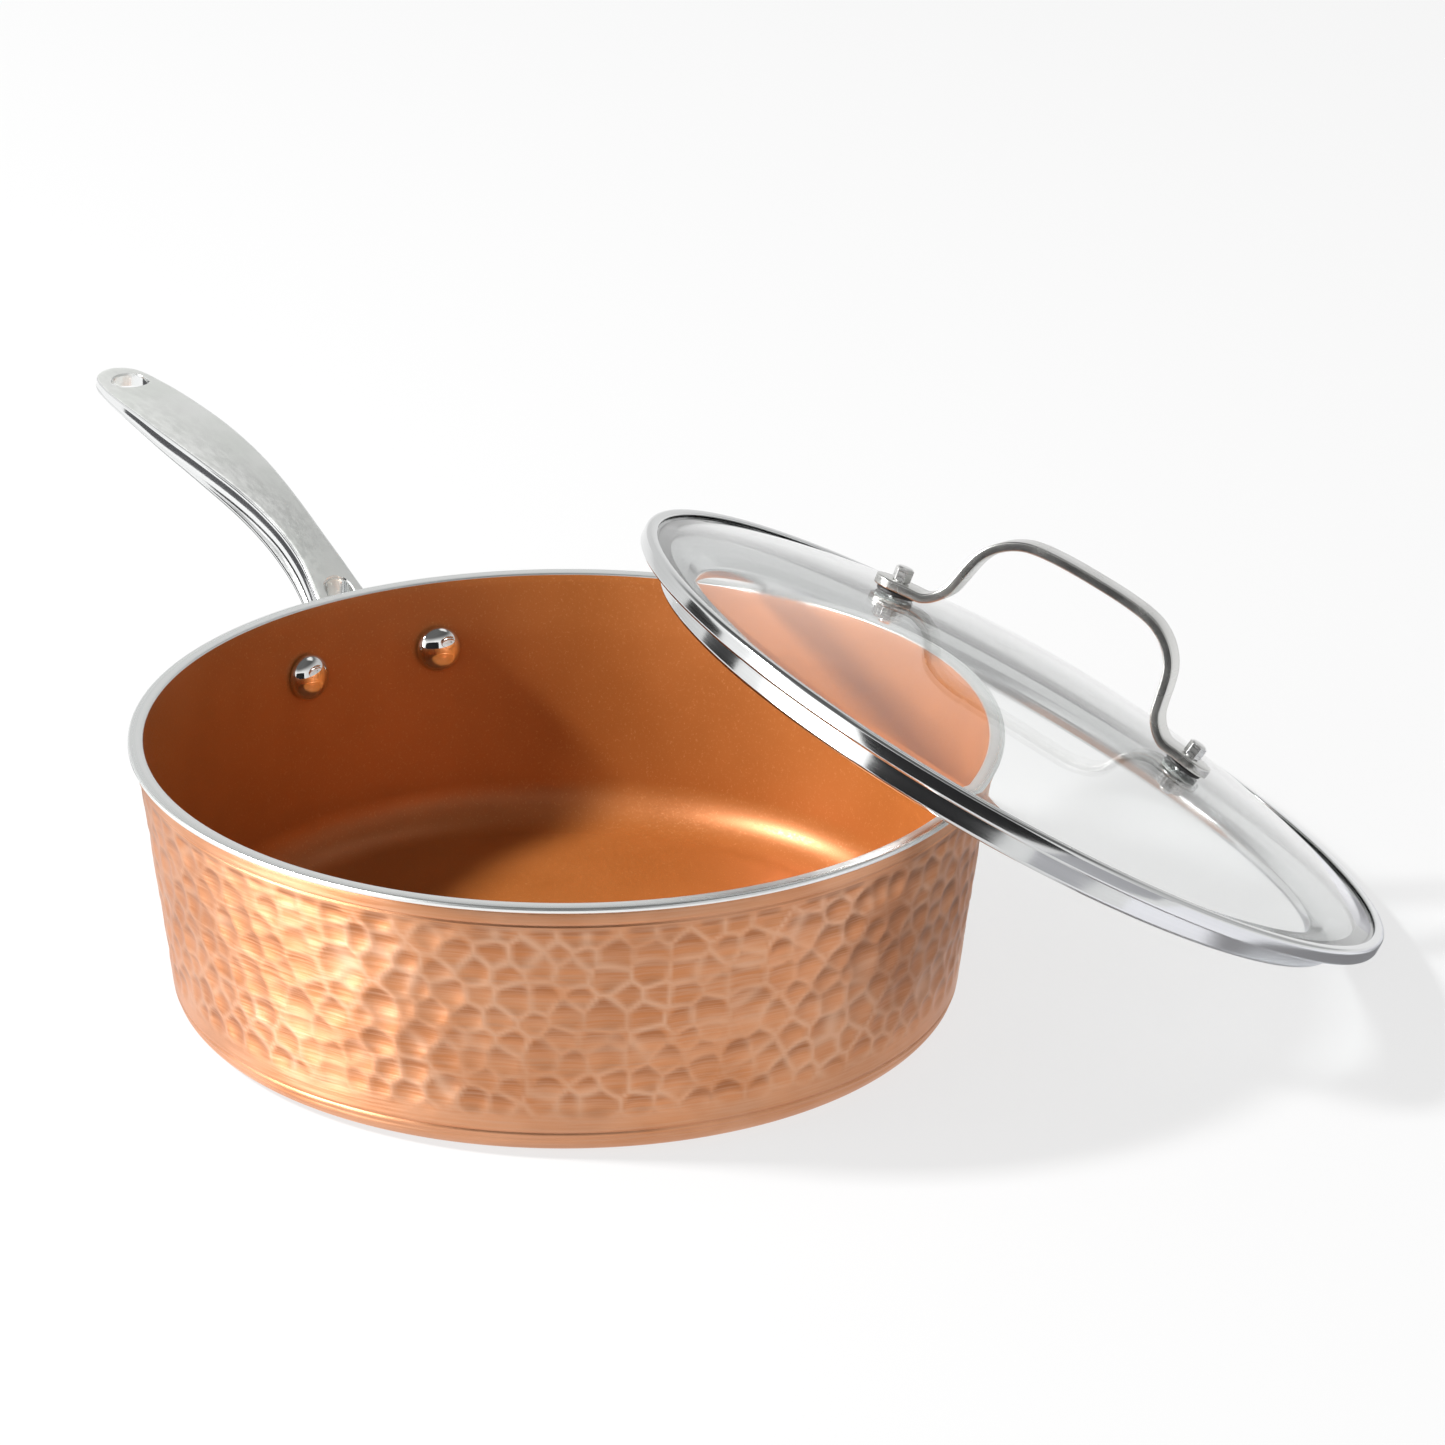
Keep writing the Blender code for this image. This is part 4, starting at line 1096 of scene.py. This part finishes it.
def make_world():
    """White walls, dimmer on the right, a dark ceiling, and bright panels left and high at the back."""
    world = bpy.data.worlds.new("studio")
    world.use_nodes = True
    bpy.context.scene.world = world
    tree = world.node_tree
    background = tree.nodes["Background"]
    direction = node(tree, "ShaderNodeTexCoord", {}).outputs["Generated"]
    turned_back = node(tree, "ShaderNodeMapping",
                       {"Vector": direction, "Rotation": (0.0, 0.0, -VIEW_TURN)}, vector_type="POINT")
    parts = node(tree, "ShaderNodeSeparateXYZ", {"Vector": turned_back.outputs["Vector"]})
    near = mapped(tree, parts.outputs["Y"], 0.1, 0.8, 1.15, 0.78)
    walls = calc(tree, "MULTIPLY", near, mapped(tree, parts.outputs["X"], 0.1, 1.0, 1.0, 0.55))
    ceiling = mapped(tree, parts.outputs["Z"], 0.42, 0.76, 1.0, 0.12)
    level = calc(tree, "MULTIPLY", walls, ceiling)
    panel = calc(tree, "MULTIPLY", zone(tree, parts, 204.0, 20.0, 4.0, 36.0, 4.0), 0.8)
    roof_panel = calc(tree, "MULTIPLY", zone(tree, parts, 35.0, 26.0, 50.0, 72.0, 6.0), 0.85)
    lit = calc(tree, "ADD", level, calc(tree, "ADD", panel, roof_panel))
    path = node(tree, "ShaderNodeLightPath", {})
    seen = calc(tree, "MAXIMUM", lit, path.outputs["Is Camera Ray"])
    tree.links.new(seen, background.inputs["Strength"])
    background.inputs["Color"].default_value = (1.0, 1.0, 1.0, 1.0)


def make_lights():
    """A key from the left, a low panel on its near side, and dark cards for the metal to mirror."""
    area_light("key", (-1.804, -0.158, 1.625), (0.0, 0.0, 0.05), 0.28, 0.28, 108.0)
    area_light("side", (-0.87, -0.39, 0.17), (0.0, 0.0, 0.04), 0.55, 0.3, 5.0)
    dark_card("card_floor",
              ((-0.16, 0.12, MM), (-0.60, 0.26, MM), (-0.41, 0.39, MM), (-0.33, 0.36, MM)), 0.05)
    dark_card("card_left",
              ((-0.42, 0.06, 0.17), (-0.42, 0.24, 0.17), (-0.42, 0.24, 0.27), (-0.42, 0.06, 0.27)), 0.03)
    dark_card("card_front",
              ((-0.50, -0.64, 0.0), (0.36, -0.76, 0.0), (0.36, -0.76, 0.5), (-0.50, -0.64, 0.5)), 0.02)
    # Painted shadow: a grey card on the floor where the pan's shadow falls, seen only in the copper's
    # reflection.
    dark_card("card_shade",
              ((0.12, -0.14, MM), (0.30, -0.18, MM), (0.34, 0.12, MM), (0.15, 0.10, MM)), 0.75, False)
    dark_card("card_right",
              ((0.10, -0.30, MM), (0.25, -0.19, MM), (0.66, -0.42, MM), (0.32, -0.74, MM)), 0.35)


# -------------- the whole

make_camera()
make_floor()
make_world()
make_lights()

make_vessel(aluminium_material(), ceramic_material())
make_copper_jacket(copper_material())
make_base_disc(polished_material("base_steel", (0.6, 0.6, 0.59), 0.3, 1800.0, 0.05 * MM))
make_handle(cast_steel_material())
rivet_steel = polished_material("rivet_steel", (0.86, 0.86, 0.85), 0.04, 900.0, 0.0)
make_rivet("rivet_head_left", -1, "rivet_left", rivet_steel)
make_rivet("rivet_head_right", 1, "rivet_right", rivet_steel)

make_glass(glass_material())
make_band(polished_material("band_steel", (0.70, 0.71, 0.71), 0.11, 700.0, 0.004 * MM))
make_seal(silicone_material("seal_silicone", (0.02, 0.02, 0.02)))
make_strap(polished_material("strap_steel", (0.64, 0.64, 0.62), 0.25, 70.0, 0.001 * MM))
stack_finishes = {
    "screw_steel": polished_material("screw_steel", (0.86, 0.86, 0.85), 0.3, 2200.0, 0.004 * MM),
    "gasket_silicone": silicone_material("gasket_silicone", (0.015, 0.015, 0.015)),
    "clear_silicone": silicone_material("clear_silicone", (0.36, 0.38, 0.37)),
    "fixing_steel": polished_material("fixing_steel", (0.62, 0.62, 0.61), 0.24, 2200.0, 0.04 * MM),
}
for stack_label, stack_side in (("a", -1), ("b", 1)):
    make_screw_stack(stack_label, stack_side, stack_finishes)

bpy.context.scene.view_settings.view_transform = "Standard"
